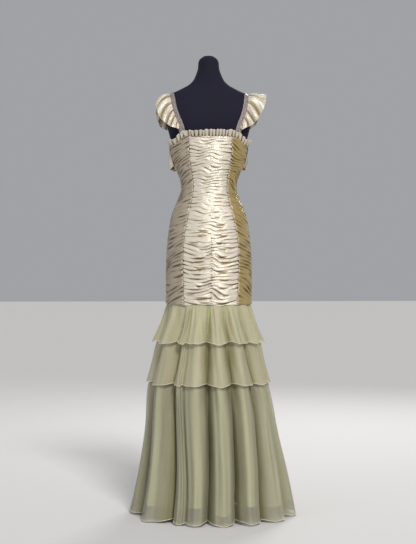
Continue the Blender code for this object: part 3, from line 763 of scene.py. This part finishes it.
# The shoulder straps: bands of fine glittery weave over the form's shoulders, sewn inside the upper edge.
# A seam runs along the middle of each band, and small glitter flakes catch the light.
STRAP_WIDE = 0.020
STRAP_BACK_X = 0.096
STRAP_TOP_X = 0.136
STRAP_FRONT_X = 0.100
STRAP_WALL = 0.0015
STRAP_OVER_FORM = 0.0014
STRAP_PIVOT_Z = 1.345
STRAP_TUCK = 0.0006
STRAP_COLUMNS, STRAP_ROWS = 9, 61
STRAP_CROWN = 0.0005
STRAP_SEAM_DEEP = 0.0008
STRAP_SHEET_WALL = 0.0012
STRAP_STITCH_LINES = (-0.44, 0.44)
STRAP_STITCH = dict(Pitch=0.0040, Length=0.0025, Radius=0.00024)
FLAKE_THICK = 0.00018
GLITTER_FLAKES = dict(Density=420000.0, Size=0.00042)


def form_fill(x, y, z):
    """Below 1 inside the dress form, 1 on its skin and more outside it."""
    y = y + section(TORSO, "lean", z)
    deep = np.where(y > 0, section(TORSO, "back", z), section(TORSO, "front", z))
    square = section(TORSO, "square", z)
    return (np.abs(x) / section(TORSO, "half", z)) ** square + (np.abs(y) / deep) ** square


def form_normal(point):
    """The direction square to the form's skin, from small steps."""
    slopes = []
    for axis in range(3):
        step = np.zeros(3)
        step[axis] = 0.0005
        slopes.append(float(form_fill(*(point + step)) - form_fill(*(point - step))))
    return np.array(slopes) / np.linalg.norm(slopes)


def strap_centre_x(share):
    """Where a strap runs sideways: share 0 is its back end, 0.5 the shoulder, 1 its front end."""
    end_x = STRAP_BACK_X if share < 0.5 else STRAP_FRONT_X
    return end_x + (STRAP_TOP_X - end_x) * math.sin(math.pi * share) ** 2


def strap_point(share, across, out):
    """A point of the left strap, out from the form's skin. Across runs from -0.5 at the neck side to 0.5."""
    x = strap_centre_x(share) + STRAP_WIDE * across
    turn = math.pi * share
    reach = np.linspace(0.0, 0.3, 601)
    inside = form_fill(x, reach * math.cos(turn), STRAP_PIVOT_Z + reach * math.sin(turn)) < 1
    far = reach[inside].max() if inside.any() else 0.0
    point = np.array([x, far * math.cos(turn), STRAP_PIVOT_Z + far * math.sin(turn)])
    sewn_in = 1 - float(ramp(min(share, 1 - share) / 0.22))
    point = point + form_normal(point) * (out + (EASE - STRAP_OVER_FORM) * sewn_in)
    if share in (0.0, 1.0):
        edge = NECK_EDGE_Z - UNDERARM_DROP * float(ramp((abs(x) - EDGE_LEVEL_TO_X) / EDGE_DROP_WIDTH))
        point[2] = edge + STRAP_TUCK
    return point


def on_side(points, side):
    """The left side's points, or the same mirrored for the right."""
    return points * np.array([side, 1.0, 1.0])


def flake_tree():
    """Scatters small flat flakes over a surface."""
    tree = node_tree("flakes", ["Density", "Size"])
    given = tree.nodes.new("NodeGroupInput").outputs
    ground = {"Mesh": given["Geometry"], "Density": given["Density"], "Seed": 7}
    spots = add(tree, "GeometryNodeDistributePointsOnFaces", ground)
    disc = {"Vertices": 6, "Radius": given["Size"], "Depth": FLAKE_THICK}
    flake = add(tree, "GeometryNodeMeshCylinder", disc)
    tips = {0: (-0.5, -0.5, -0.5), 1: (0.5, 0.5, 0.5), "Seed": 3}
    tip = add(tree, "FunctionNodeRandomValue", tips, {"data_type": "FLOAT_VECTOR"})
    turns = {"Rotation": spots.outputs["Rotation"], "Rotate By": tip.outputs[0]}
    turned = add(tree, "FunctionNodeRotateEuler", turns, {"space": "LOCAL"})
    where = {"Points": spots.outputs["Points"], "Rotation": turned.outputs[0]}
    laid = add(tree, "GeometryNodeInstanceOnPoints", {**where, "Instance": flake.outputs["Mesh"]})
    close_tree(tree, given, laid.outputs[0])
    return tree


def band_finish():
    finish = Finish("strap_band", Roughness=0.42, Sheen_Weight=0.2, Metallic=0.35)
    cells = {"Vector": finish.place(flat=True), "Scale": 1100.0}
    weave = finish.node("ShaderNodeTexVoronoi", None, cells)[0]
    tone = finish.clouds(finish.place(), 320.0)
    colour = finish.between(finish.spread(tone, 0.35, 0.65), (0.13, 0.105, 0.12, 1), (0.40, 0.34, 0.33, 1))
    finish.join(finish.shader, {"Base Color": colour, "Roughness": finish.spread(tone, 0.3, 0.7, 0.3, 0.55)})
    finish.relief(weave, 0.0006)
    return finish.material


def glitter_finish():
    finish = Finish("glitter", Roughness=0.18, Metallic=0.9)
    tone = finish.clouds(finish.place(), 420.0)
    colour = finish.between(tone, (0.62, 0.52, 0.48, 1), (0.95, 0.90, 0.80, 1))
    finish.join(finish.shader, {"Base Color": colour})
    return finish.material


BAND = band_finish()
GLITTER = glitter_finish()
FLAKES = flake_tree()


def shoulder_strap(ending, side):
    shares = np.linspace(0, 1, STRAP_ROWS)
    lines = np.linspace(-0.5, 0.5, STRAP_COLUMNS)
    crown = STRAP_CROWN * (1 - (2 * lines) ** 2) - STRAP_SEAM_DEEP * np.exp(-((lines / 0.05) ** 2))
    top = STRAP_OVER_FORM + STRAP_WALL
    points = np.array([[strap_point(s, a, top + c) for a, c in zip(lines, crown)] for s in shares])
    piece = cloth_object(f"band_{ending}", on_side(points, side), outward=side > 0)
    long = line_length(points[:, STRAP_COLUMNS // 2])
    glitter = made_by_nodes(f"glitter_{ending}", piece.copy(), FLAKES, GLITTER, **GLITTER_FLAKES)
    give_wall(piece, STRAP_SHEET_WALL)
    piece.data.materials.append(BAND)
    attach(piece, "root")
    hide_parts(f"strap_{ending}")
    for number, across in enumerate(STRAP_STITCH_LINES):
        line = on_side(np.array([strap_point(s, across, top + 0.0002) for s in shares[1:-1]]), side)
        name = f"strap_stitches_{ending}_{number + 1}"
        stitches = made_by_nodes(name, line_object(line), STITCHES, THREAD, **STRAP_STITCH)


# The cap sleeves: doubled satin gathered to the straps' outer edges, standing out over the shoulders.
# The folds open towards the free edge, which ends in a narrow rolled hem.
CAP_START = 0.11
CAP_END = 0.89
CAP_LONG = 0.058
CAP_SHORT = 0.004
CAP_TAPER = 1.1
CAP_DROOP = 0.75
CAP_FOLDS = 12
CAP_COLUMNS_PER_FOLD, CAP_ROWS = 16, 32
CAP_WAVE = 0.0085
CAP_FINE_WAVE = 0.0010
CAP_WALL = 0.0008
CAP_OVER_STRAP = 0.0012
CAP_HEM = dict(Radius=0.0008, Sides=6)
# How far the cap's cloth is raised off the strap, added to its folds' waves
CAP_RAISE = 0.0012
CAP_SEAM = 0.16
CAP_OVERLAP = 0.0068
# How far each cap curls down at its middle, as seen: the left one hangs, the right one stands out
CAPS = (dict(ending="left", side=1, curl=1.25, seed=4), dict(ending="right", side=-1, curl=0.25, seed=9))


def cap_sleeve(ending, side, curl, seed):
    chance = np.random.default_rng(seed)
    swing = chance.uniform(0.65, 1.2, CAP_FOLDS + 3)
    columns = CAP_FOLDS * CAP_COLUMNS_PER_FOLD
    feet, out_ways, squares = [], [], []
    for share in np.linspace(CAP_START, CAP_END, columns + 1):
        foot = strap_point(share, CAP_SEAM, STRAP_OVER_FORM + STRAP_WALL + CAP_OVER_STRAP)
        ahead = strap_point(share + 0.01, 0.5, STRAP_OVER_FORM)
        ahead = ahead - strap_point(share - 0.01, 0.5, STRAP_OVER_FORM)
        back = math.cos(math.pi * share)
        out_way = np.array([1.0, 0.18 * back, -CAP_DROOP * abs(back)])
        out_way /= np.linalg.norm(out_way)
        square = np.cross(ahead, out_way)
        square /= np.linalg.norm(square)
        feet.append(foot)
        out_ways.append(out_way)
        squares.append(square * (1 if square @ form_normal(foot) > 0 else -1))
    feet, out_ways, squares = np.array(feet)[None], np.array(out_ways)[None], np.array(squares)[None]
    along = np.linspace(0, 1, columns + 1)[None, :]
    reach = np.linspace(0, 1, CAP_ROWS + 1)[:, None]
    phase = CAP_FOLDS * along + 0.45 * np.sin(5 * along + seed) + 1.1 * reach * np.cos(math.pi * along)
    phase = phase + 0.22 * reach * np.sin(17 * along + seed)
    fold = np.clip(np.floor(phase).astype(int) + 2, 0, CAP_FOLDS + 2)
    part = phase - np.floor(phase)
    long = CAP_SHORT + (CAP_LONG - CAP_SHORT) * np.sin(math.pi * along) ** CAP_TAPER
    bell = np.sin(math.pi * part) ** 0.75
    long = long - 0.0034 * (1 - bell) * reach + 0.0022 * np.sin(2.1 * phase + seed) * reach
    size = (0.25 + 0.75 * reach**0.8) * CAP_WAVE * np.minimum(1.0, 1.6 * long / CAP_LONG)
    wave = size * (2 * bell - 1.15) * swing[fold]
    fine = CAP_FINE_WAVE * np.sin(2 * math.pi * 2.6 * phase + 5 * reach) * (1 - 0.5 * reach)
    raised = np.maximum(wave + fine + CAP_RAISE + 0.0018, -0.004 * reach)
    raised = (raised * ramp(0.25 + 3 * reach))[..., None]
    bend = curl * reach * np.sin(math.pi * along) ** 1.5 + 1e-4
    long = long + CAP_OVERLAP
    ahead = (np.sin(bend) / bend * long * reach)[..., None]
    fall = ((1 - np.cos(bend)) / bend * long * reach)[..., None]
    points = feet + out_ways * ahead - np.array([0, 0, 1.0]) * fall + squares * raised
    points = on_side(points, side)
    # Painted shade: darker in the fold valleys and towards the strap.
    crease = np.clip(1.15 - 1.45 * bell + 0.20 * (1 - reach), 0, 1.1)
    piece = cloth_object(f"satin_cap_{ending}", points, {"crease": crease}, outward=side > 0)
    give_wall(piece, CAP_WALL, 0.0)
    piece.data.materials.append(satin(f"satin_cap_{ending}", LIGHT_SATIN, PAINTED_CREASE_SHADE, seed))
    satin_of_cap = piece.data.materials[0]
    hem = made_by_nodes(f"cap_hem_{ending}", line_object(points[-1]), ROLLED_EDGE, satin_of_cap, **CAP_HEM)
    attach(piece, "root")
    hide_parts(f"cap_sleeve_{ending}")
    wide = line_length(points[-1])


for row in CAPS:
    shoulder_strap(row["ending"], row["side"])
    cap_sleeve(row["ending"], row["side"], row["curl"], row["seed"])


# The flounces and the underskirt: three layers of thin olive organza, each gathered and sewn round an opaque
# satin underskirt, which is gathered to the body's hem. They open into soft deep folds towards the floor.
LAYERS = {
    "tier_one": [
        dict(z=0.7457, half=0.1500, shift=0.000, back=0.1205, front=0.1115, fold=0.003),
        dict(z=0.7050, half=0.1630, shift=0.000, back=0.1360, front=0.1270, fold=0.013),
        dict(z=0.6580, half=0.1820, shift=0.000, back=0.1560, front=0.1450, fold=0.023),
        dict(z=0.6100, half=0.2040, shift=0.000, back=0.1780, front=0.1640, fold=0.029),
    ],
    "tier_two": [
        dict(z=0.6400, half=0.1700, shift=0.000, back=0.1450, front=0.1350, fold=0.012),
        dict(z=0.6030, half=0.1890, shift=0.000, back=0.1650, front=0.1530, fold=0.027),
        dict(z=0.5350, half=0.2060, shift=0.000, back=0.1860, front=0.1710, fold=0.036),
        dict(z=0.4660, half=0.2250, shift=0.000, back=0.2060, front=0.1900, fold=0.036),
    ],
    "skirt": [
        dict(z=0.5000, half=0.1950, shift=0.000, back=0.1770, front=0.1630, fold=0.025),
        dict(z=0.4520, half=0.2180, shift=0.000, back=0.1990, front=0.1830, fold=0.038),
        dict(z=0.2900, half=0.2430, shift=-0.009, back=0.2270, front=0.2090, fold=0.050),
        dict(z=0.1500, half=0.2730, shift=-0.016, back=0.2560, front=0.2360, fold=0.058),
        dict(z=0.0060, half=0.3030, shift=-0.016, back=0.2880, front=0.2660, fold=0.064),
    ],
    "underskirt": [
        dict(z=0.7457, half=0.1480, shift=0.000, back=0.1185, front=0.1095, fold=0.003),
        dict(z=0.6400, half=0.1685, shift=0.000, back=0.1435, front=0.1335, fold=0.013),
        dict(z=0.5000, half=0.1935, shift=0.000, back=0.1755, front=0.1615, fold=0.027),
        dict(z=0.4520, half=0.2110, shift=0.000, back=0.1920, front=0.1760, fold=0.038),
        dict(z=0.2900, half=0.2365, shift=-0.009, back=0.2205, front=0.2025, fold=0.050),
        dict(z=0.1500, half=0.2665, shift=-0.016, back=0.2495, front=0.2295, fold=0.058),
        dict(z=0.0550, half=0.2860, shift=-0.016, back=0.2700, front=0.2490, fold=0.062),
    ],
}
VALLEYS = [
    dict(high=-90.0, low=-84.0, depth=1.0),
    dict(high=-67.0, low=-59.0, depth=0.8),
    dict(high=-47.0, low=-34.4, depth=1.0),
    dict(high=-21.0, low=-13.8, depth=1.2),
    dict(high=5.4, low=8.2, depth=1.2),
    dict(high=30.0, low=24.0, depth=0.4),
    dict(high=42.0, low=36.0, depth=1.1),
    dict(high=78.0, low=74.0, depth=1.0),
    dict(high=104.0, low=102.0, depth=0.9),
    dict(high=132.0, low=130.0, depth=1.1),
    dict(high=160.0, low=161.0, depth=0.8),
    dict(high=188.0, low=186.0, depth=1.0),
    dict(high=216.0, low=217.0, depth=1.1),
    dict(high=243.0, low=247.0, depth=0.9),
]
VALLEYS_IN_BACK = 7
SKIRT_SQUARE = 2.2
DRIFT_STARTS_Z = 0.45
HEM_LIFT = 0.0075
# How each layer is gathered at its seam and how its cloth moves further down, where the underskirt
# moves with the skirt
CLOTH = {
    "tier_one": dict(per_lobe=44, rows=56, gathers=9, gather=0.0024, fades=0.030,
                     coarse=0.0048, ripple=0.0030),
    "tier_two": dict(per_lobe=44, rows=56, gathers=8, gather=0.0016, fades=0.035,
                     coarse=0.0020, ripple=0.0022),
    "skirt": dict(per_lobe=44, rows=96, gathers=7, gather=0.0012, fades=0.080, coarse=0.0034, ripple=0.0052),
    "underskirt": dict(per_lobe=30, rows=60, gathers=6, gather=0.0010, fades=0.060),
}
# How much higher each lobe of the underskirt ends than its neighbours, from the first valley on
UNDERSKIRT_HEM_SHIFTS = [
    0.004, -0.002, 0.008, -0.018, 0.006, 0.004, 0.002,
    0.0, 0.006, -0.006, 0.004, 0.0, 0.006, 0.002,
]
LAYER_HEM = dict(Radius=0.0011, Sides=6)
COARSE_GATHERS = 3.6
OPEN_VALLEY = 1.5
CLOSED_VALLEY = 0.62
# Soft folds that run down the layers, by place among the valleys, with their width in the same count
SOFT_FOLDS = [
    dict(layer="skirt", at=5.50, deep=0.020, wide=0.42, high=0.50, low=0.10),
    dict(layer="tier_two", at=5.50, deep=0.013, wide=0.42, high=0.64, low=0.55),
    dict(layer="tier_one", at=5.50, deep=0.006, wide=0.42, high=0.70, low=0.61),
    dict(layer="skirt", at=0.45, deep=0.008, wide=0.10, high=0.50, low=0.00),
    dict(layer="skirt", at=1.55, deep=0.007, wide=0.12, high=0.40, low=0.00),
    dict(layer="skirt", at=2.30, deep=0.006, wide=0.09, high=0.46, low=0.05),
    dict(layer="skirt", at=3.40, deep=0.005, wide=0.10, high=0.42, low=0.00),
    dict(layer="skirt", at=3.70, deep=0.006, wide=0.08, high=0.30, low=0.00),
    dict(layer="skirt", at=6.35, deep=0.009, wide=0.09, high=0.46, low=0.00),
    dict(layer="skirt", at=6.70, deep=0.007, wide=0.10, high=0.35, low=0.00),
    dict(layer="skirt", at=7.50, deep=0.008, wide=0.10, high=0.46, low=0.00),
    dict(layer="skirt", at=8.60, deep=0.007, wide=0.12, high=0.40, low=0.00),
    dict(layer="skirt", at=9.35, deep=0.006, wide=0.10, high=0.44, low=0.02),
    dict(layer="skirt", at=10.50, deep=0.008, wide=0.11, high=0.46, low=0.00),
    dict(layer="skirt", at=11.60, deep=0.006, wide=0.10, high=0.38, low=0.00),
    dict(layer="skirt", at=12.40, deep=0.007, wide=0.10, high=0.45, low=0.00),
    dict(layer="skirt", at=13.50, deep=0.007, wide=0.12, high=0.42, low=0.00),
    dict(layer="tier_two", at=0.50, deep=0.005, wide=0.10, high=0.62, low=0.46),
    dict(layer="tier_two", at=2.35, deep=0.004, wide=0.08, high=0.60, low=0.50),
    dict(layer="tier_two", at=3.60, deep=0.004, wide=0.09, high=0.56, low=0.46),
    dict(layer="tier_two", at=6.45, deep=0.006, wide=0.09, high=0.62, low=0.46),
    dict(layer="tier_two", at=9.45, deep=0.005, wide=0.10, high=0.62, low=0.46),
    dict(layer="tier_two", at=12.50, deep=0.005, wide=0.10, high=0.60, low=0.46),
    dict(layer="tier_one", at=0.55, deep=0.005, wide=0.10, high=0.70, low=0.61),
    dict(layer="tier_one", at=2.40, deep=0.005, wide=0.08, high=0.70, low=0.61),
    dict(layer="tier_one", at=3.35, deep=0.005, wide=0.08, high=0.69, low=0.61),
    dict(layer="tier_one", at=3.70, deep=0.004, wide=0.07, high=0.67, low=0.61),
    dict(layer="tier_one", at=4.50, deep=0.004, wide=0.10, high=0.68, low=0.61),
    dict(layer="tier_one", at=6.40, deep=0.006, wide=0.09, high=0.70, low=0.61),
    dict(layer="tier_one", at=6.75, deep=0.004, wide=0.08, high=0.66, low=0.61),
    dict(layer="tier_one", at=8.50, deep=0.005, wide=0.10, high=0.70, low=0.61),
    dict(layer="tier_one", at=10.45, deep=0.005, wide=0.10, high=0.70, low=0.61),
    dict(layer="tier_one", at=12.55, deep=0.005, wide=0.10, high=0.69, low=0.61),
]


def valley_angle(number, z):
    """Valleys' angles at heights z. Numbers past the table's end go on round the body."""
    place, turns = number % len(VALLEYS), number // len(VALLEYS)
    high = np.array([row["high"] for row in VALLEYS])[place]
    low = np.array([row["low"] for row in VALLEYS])[place]
    return np.radians(high + (low - high) * ramp(1 - z / DRIFT_STARTS_Z) + 360 * turns)


def layer_points(layer, position, z):
    """Points of a layer. Position counts valleys round the body, with a share of the way to the next."""
    table, cloth = LAYERS[layer], CLOTH[layer]
    moving = "skirt" if layer == "underskirt" else layer
    sway, sway_table = CLOTH[moving], LAYERS[moving]
    number = np.floor(position + 1e-9).astype(int)
    share = position - number
    before, after = valley_angle(number, z), valley_angle(number + 1, z)
    angle = before + (after - before) * share
    depths = np.array([row["depth"] for row in VALLEYS])
    depth_before, depth_after = depths[number % len(VALLEYS)], depths[(number + 1) % len(VALLEYS)]
    depth = depth_before + (depth_after - depth_before) * ramp(share)
    low = np.clip((sway_table[0]["z"] - z) / (sway_table[0]["z"] - sway_table[-1]["z"]), 0, 1)
    top_drop = table[0]["z"] - z
    sway_drop = np.maximum(sway_table[0]["z"] - z, 0)
    round_bell = np.sin(math.pi * share)
    bell = round_bell ** (OPEN_VALLEY + (CLOSED_VALLEY - OPEN_VALLEY) * ramp(sway_drop / 0.16))
    fold = depth * section(table, "fold", z) * (1 - bell)

    whole = len(VALLEYS)
    around = 2 * math.pi * position / whole
    gather_phase = position * cloth["gathers"] + 0.8 * np.sin(5 * around) + 0.5 * np.sin(13 * around + 1)
    gather_number = np.floor(gather_phase).astype(int)
    unlike = np.sin(gather_number * 12.9898) * 43758.5453
    unlike = unlike - np.floor(unlike)
    gather_bell = np.abs(np.sin(math.pi * gather_phase)) ** 0.7
    fades = cloth["fades"] * (0.35 + 1.6 * unlike)
    gather = cloth["gather"] * (gather_bell - 0.6) * np.exp(-top_drop / fades)
    ripple = np.sin(2 * math.pi * (2.0 * position + 0.35 * np.sin(3 * around))) * 0.6
    ripple = ripple + np.sin(2 * math.pi * (3.4 * position + 0.6 * low) + 2 * np.sin(4 * around)) * 0.4
    ripple = sway["ripple"] * ripple * low**1.4 * (0.35 + 0.65 * bell)
    coarse = np.sin(2 * math.pi * (COARSE_GATHERS * position + 0.5 * np.sin(7 * around + 2) + 0.25 * low))
    coarse = sway["coarse"] * (np.abs(coarse + 0.3) ** 0.8 * np.sign(coarse + 0.3) - 0.3)
    coarse = coarse * ramp(sway_drop / 0.030) * (1 - 0.6 * low) * (0.5 + 0.5 * np.sin(11 * around + 1))
    soft = np.zeros(np.broadcast_shapes(position.shape, z.shape))
    for row in SOFT_FOLDS:
        if row["layer"] == moving:
            away = (position - row["at"] - 0.03 * np.sin(9 * z + row["at"])) / row["wide"]
            open_share = ramp((row["high"] - z) / (0.35 * (row["high"] - row["low"]) + 0.02))
            soft = soft + row["deep"] * np.exp(-np.abs(away) ** 1.5) * open_share
    out = gather + ripple + coarse - soft - fold
    half, back, front = (section(table, column, z) for column in ("half", "back", "front"))
    x, y = oval(half, back, front, SKIRT_SQUARE, angle, out)
    hem_z = table[-1]["z"]
    lift = HEM_LIFT * (1 - round_bell) + 0.0022 * np.sin(9 * around + 3) + 0.0010 * np.sin(31 * around)
    if layer == "underskirt":
        lift = lift + np.array(UNDERSKIRT_HEM_SHIFTS)[number % whole] * round_bell**0.3
    lift = lift * ramp(((table[0]["z"] - z) / (table[0]["z"] - table[-1]["z"]) - 0.5) / 0.5)
    points = np.stack(np.broadcast_arrays(x + section(table, "shift", z), y, z + lift), axis=-1)
    # Painted shade: darker in the fold valleys and soft folds, lighter on gathered ridges.
    painted_shade = np.clip((fold + soft) / 0.045 - (gather + coarse) * 75 + 0.20, 0, 1)
    return points, painted_shade


def organza(name, light, shade, see_through, seed):
    """Thin crisp organza with fine upright streaks. Painted shade darkens it in its fold valleys, where it is
    also less clear.
    """
    finish = Finish(name, Sheen_Weight=0.25, Sheen_Roughness=0.3, Specular_IOR_Level=0.35)
    crease = finish.mark("crease")
    streaks = finish.clouds(finish.place((240.0, 8.0, 1.0), flat=True), 1.0, 3.0)
    patches = finish.clouds(finish.place(), 5.0 + 0.1 * seed)
    weave = finish.node("ShaderNodeTexWave", None, {"Vector": finish.place(flat=True), "Scale": 500.0})[1]
    tone = finish.spread(crease + (streaks - 0.5) * 0.55, 0.10, 1.0)
    colour = finish.between(tone, light, shade)
    colour = finish.between(finish.spread(patches, 0.4, 0.8, 0.0, 0.3), colour, (0.40, 0.37, 0.27, 1))
    clear = finish.spread(crease + (streaks - 0.5) * 0.6, 0.1, 1.0, see_through, 0.93)
    finish.join(finish.shader, {"Base Color": colour, "Alpha": clear})
    finish.join(finish.shader, {"Roughness": finish.spread(streaks, 0.2, 0.8, 0.42, 0.6)})
    finish.relief(streaks * 0.8 + weave * 0.08, 0.0007)
    return finish.material


def underskirt_satin():
    finish = Finish("underskirt", Sheen_Weight=0.2, Specular_IOR_Level=0.5)
    crease = finish.mark("crease")
    streaks = finish.clouds(finish.place((60.0, 5.0, 1.0), flat=True), 1.0, 3.0)
    # Painted shade: the underskirt darkens in its fold valleys.
    colour = finish.between(finish.spread(crease, 0.1, 0.9), (0.45, 0.46, 0.20, 1), (0.13, 0.135, 0.042, 1))
    rough = finish.spread(streaks, 0.2, 0.8, 0.38, 0.52)
    finish.join(finish.shader, {"Base Color": colour, "Roughness": rough})
    finish.relief(streaks, 0.0005)
    return finish.material


def rolled_hem_finish():
    finish = Finish("rolled_hem", Roughness=0.5, Sheen_Weight=0.2)
    tone = finish.clouds(finish.place(), 120.0)
    colour = finish.between(tone, (0.50, 0.46, 0.31, 1), (0.70, 0.66, 0.48, 1))
    finish.join(finish.shader, {"Base Color": colour})
    return finish.material


ROLLED_HEM = rolled_hem_finish()
# Each organza gets its colour and a darker painted shade for its fold valleys.
LAYER_FINISH = {
    "tier_one": organza("organza_tier_one", (0.60, 0.56, 0.39, 1), (0.25, 0.22, 0.085, 1), 0.60, 1),
    "tier_two": organza("organza_tier_two", (0.56, 0.52, 0.37, 1), (0.21, 0.185, 0.075, 1), 0.60, 2),
    "skirt": organza("organza_skirt", (0.49, 0.47, 0.36, 1), (0.17, 0.16, 0.075, 1), 0.46, 3),
    "underskirt": underskirt_satin(),
}


def hanging_layer(layer, half, first, last):
    cloth, table = CLOTH[layer], LAYERS[layer]
    position = np.linspace(first, last, (last - first) * cloth["per_lobe"] + 1)[None, :]
    z = np.linspace(table[0]["z"], table[-1]["z"], cloth["rows"])[:, None]
    points, painted_shade = layer_points(layer, position, z)
    name = f"{layer}_{half}"
    piece = cloth_object("cloth_" + name, points, {"crease": painted_shade}, outward=False)
    piece.data.materials.append(LAYER_FINISH[layer])
    hem = made_by_nodes(f"hem_{name}", line_object(points[-1]), ROLLED_EDGE, ROLLED_HEM, **LAYER_HEM)
    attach(piece, "root")
    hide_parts(name)
    wide, upper = line_length(points[-1]), line_length(points[0])
    tall = float(np.linalg.norm(np.diff(points, axis=0), axis=-1).sum(axis=0).mean())


for half, first, last in (("back", 0, VALLEYS_IN_BACK), ("front", VALLEYS_IN_BACK, len(VALLEYS))):
    for layer in ("underskirt", "skirt", "tier_two", "tier_one"):
        hanging_layer(layer, half, first, last)


# The studio: a plain pale floor, soft lamps, and a camera level with the gown's middle behind it.
CAMERA_FAR = 4.2
CAMERA_Z = 0.86
CAMERA_TURN = math.radians(4.0)
METRES_PER_PIXEL = 0.0036
IMAGE_TALL = 544
AXIS_OFF_CENTRE = 0.8 * METRES_PER_PIXEL
SENSOR = 36.0
KEY_FROM = (-0.34, 1.25, 1.10)
KEY_POWER = 2.6
KEY_SPREAD = math.radians(16)
KEY_COLOUR = (1.0, 0.985, 0.96)
LAMPS = [
    dict(name="fill", place=(2.8, 2.2, 1.5), aim=(0, 0, 0.8), size=1.6, power=12, colour=(0.92, 0.95, 1.0)),
    dict(name="front", place=(-1.2, -3.0, 2.8), aim=(0, 0, 0.9), size=1.4, power=60, colour=(1.0, 0.98, 0.95)),
]
SKY_COLOUR = (0.84, 0.86, 0.90, 1)
SKY_STRENGTH = 0.42
FLOOR_COLOUR = (0.62, 0.61, 0.60, 1)
FLOOR_REACH = 30.0


def soft_lamp(name, place, aim, size, power, colour):
    lamp = bpy.data.lights.new(name, "AREA")
    lamp.shape = "DISK"
    lamp.size = size
    lamp.energy = power
    lamp.color = colour
    holder = bpy.data.objects.new(name, lamp)
    holder.location = place
    holder.rotation_euler = (Vector(aim) - Vector(place)).to_track_quat("-Z", "Y").to_euler()
    bpy.context.scene.collection.objects.link(holder)


def studio():
    mesh = bpy.data.meshes.new("floor")
    wide = FLOOR_REACH
    corners = [(-wide, -wide, 0), (wide, -wide, 0), (wide, wide, 0), (-wide, wide, 0)]
    mesh.from_pydata(corners, [], [(0, 1, 2, 3)])
    floor = bpy.data.objects.new("floor", mesh)
    bpy.context.scene.collection.objects.link(floor)
    pale = Finish("floor", Roughness=0.7)
    pale.shader.inputs["Base Color"].default_value = FLOOR_COLOUR
    mesh.materials.append(pale.material)

    world = bpy.data.worlds.new("studio")
    world.use_nodes = True
    world.node_tree.nodes["Background"].inputs["Color"].default_value = SKY_COLOUR
    world.node_tree.nodes["Background"].inputs["Strength"].default_value = SKY_STRENGTH
    bpy.context.scene.world = world
    bpy.context.scene.view_settings.view_transform = "Standard"

    sun = bpy.data.lights.new("key", "SUN")
    sun.energy = KEY_POWER
    sun.angle = KEY_SPREAD
    sun.color = KEY_COLOUR
    holder = bpy.data.objects.new("key", sun)
    holder.rotation_euler = (-Vector(KEY_FROM)).to_track_quat("-Z", "Y").to_euler()
    bpy.context.scene.collection.objects.link(holder)
    for lamp in LAMPS:
        soft_lamp(**lamp)

    lens = bpy.data.cameras.new("camera")
    lens.sensor_width = SENSOR
    lens.lens = SENSOR * CAMERA_FAR / (METRES_PER_PIXEL * IMAGE_TALL)
    camera = bpy.data.objects.new("camera", lens)
    camera.location = (CAMERA_FAR * math.sin(CAMERA_TURN), CAMERA_FAR * math.cos(CAMERA_TURN), CAMERA_Z)
    aim = Vector((AXIS_OFF_CENTRE, 0, CAMERA_Z))
    camera.rotation_euler = (aim - camera.location).to_track_quat("-Z", "Y").to_euler()
    bpy.context.scene.collection.objects.link(camera)
    bpy.context.scene.camera = camera


studio()
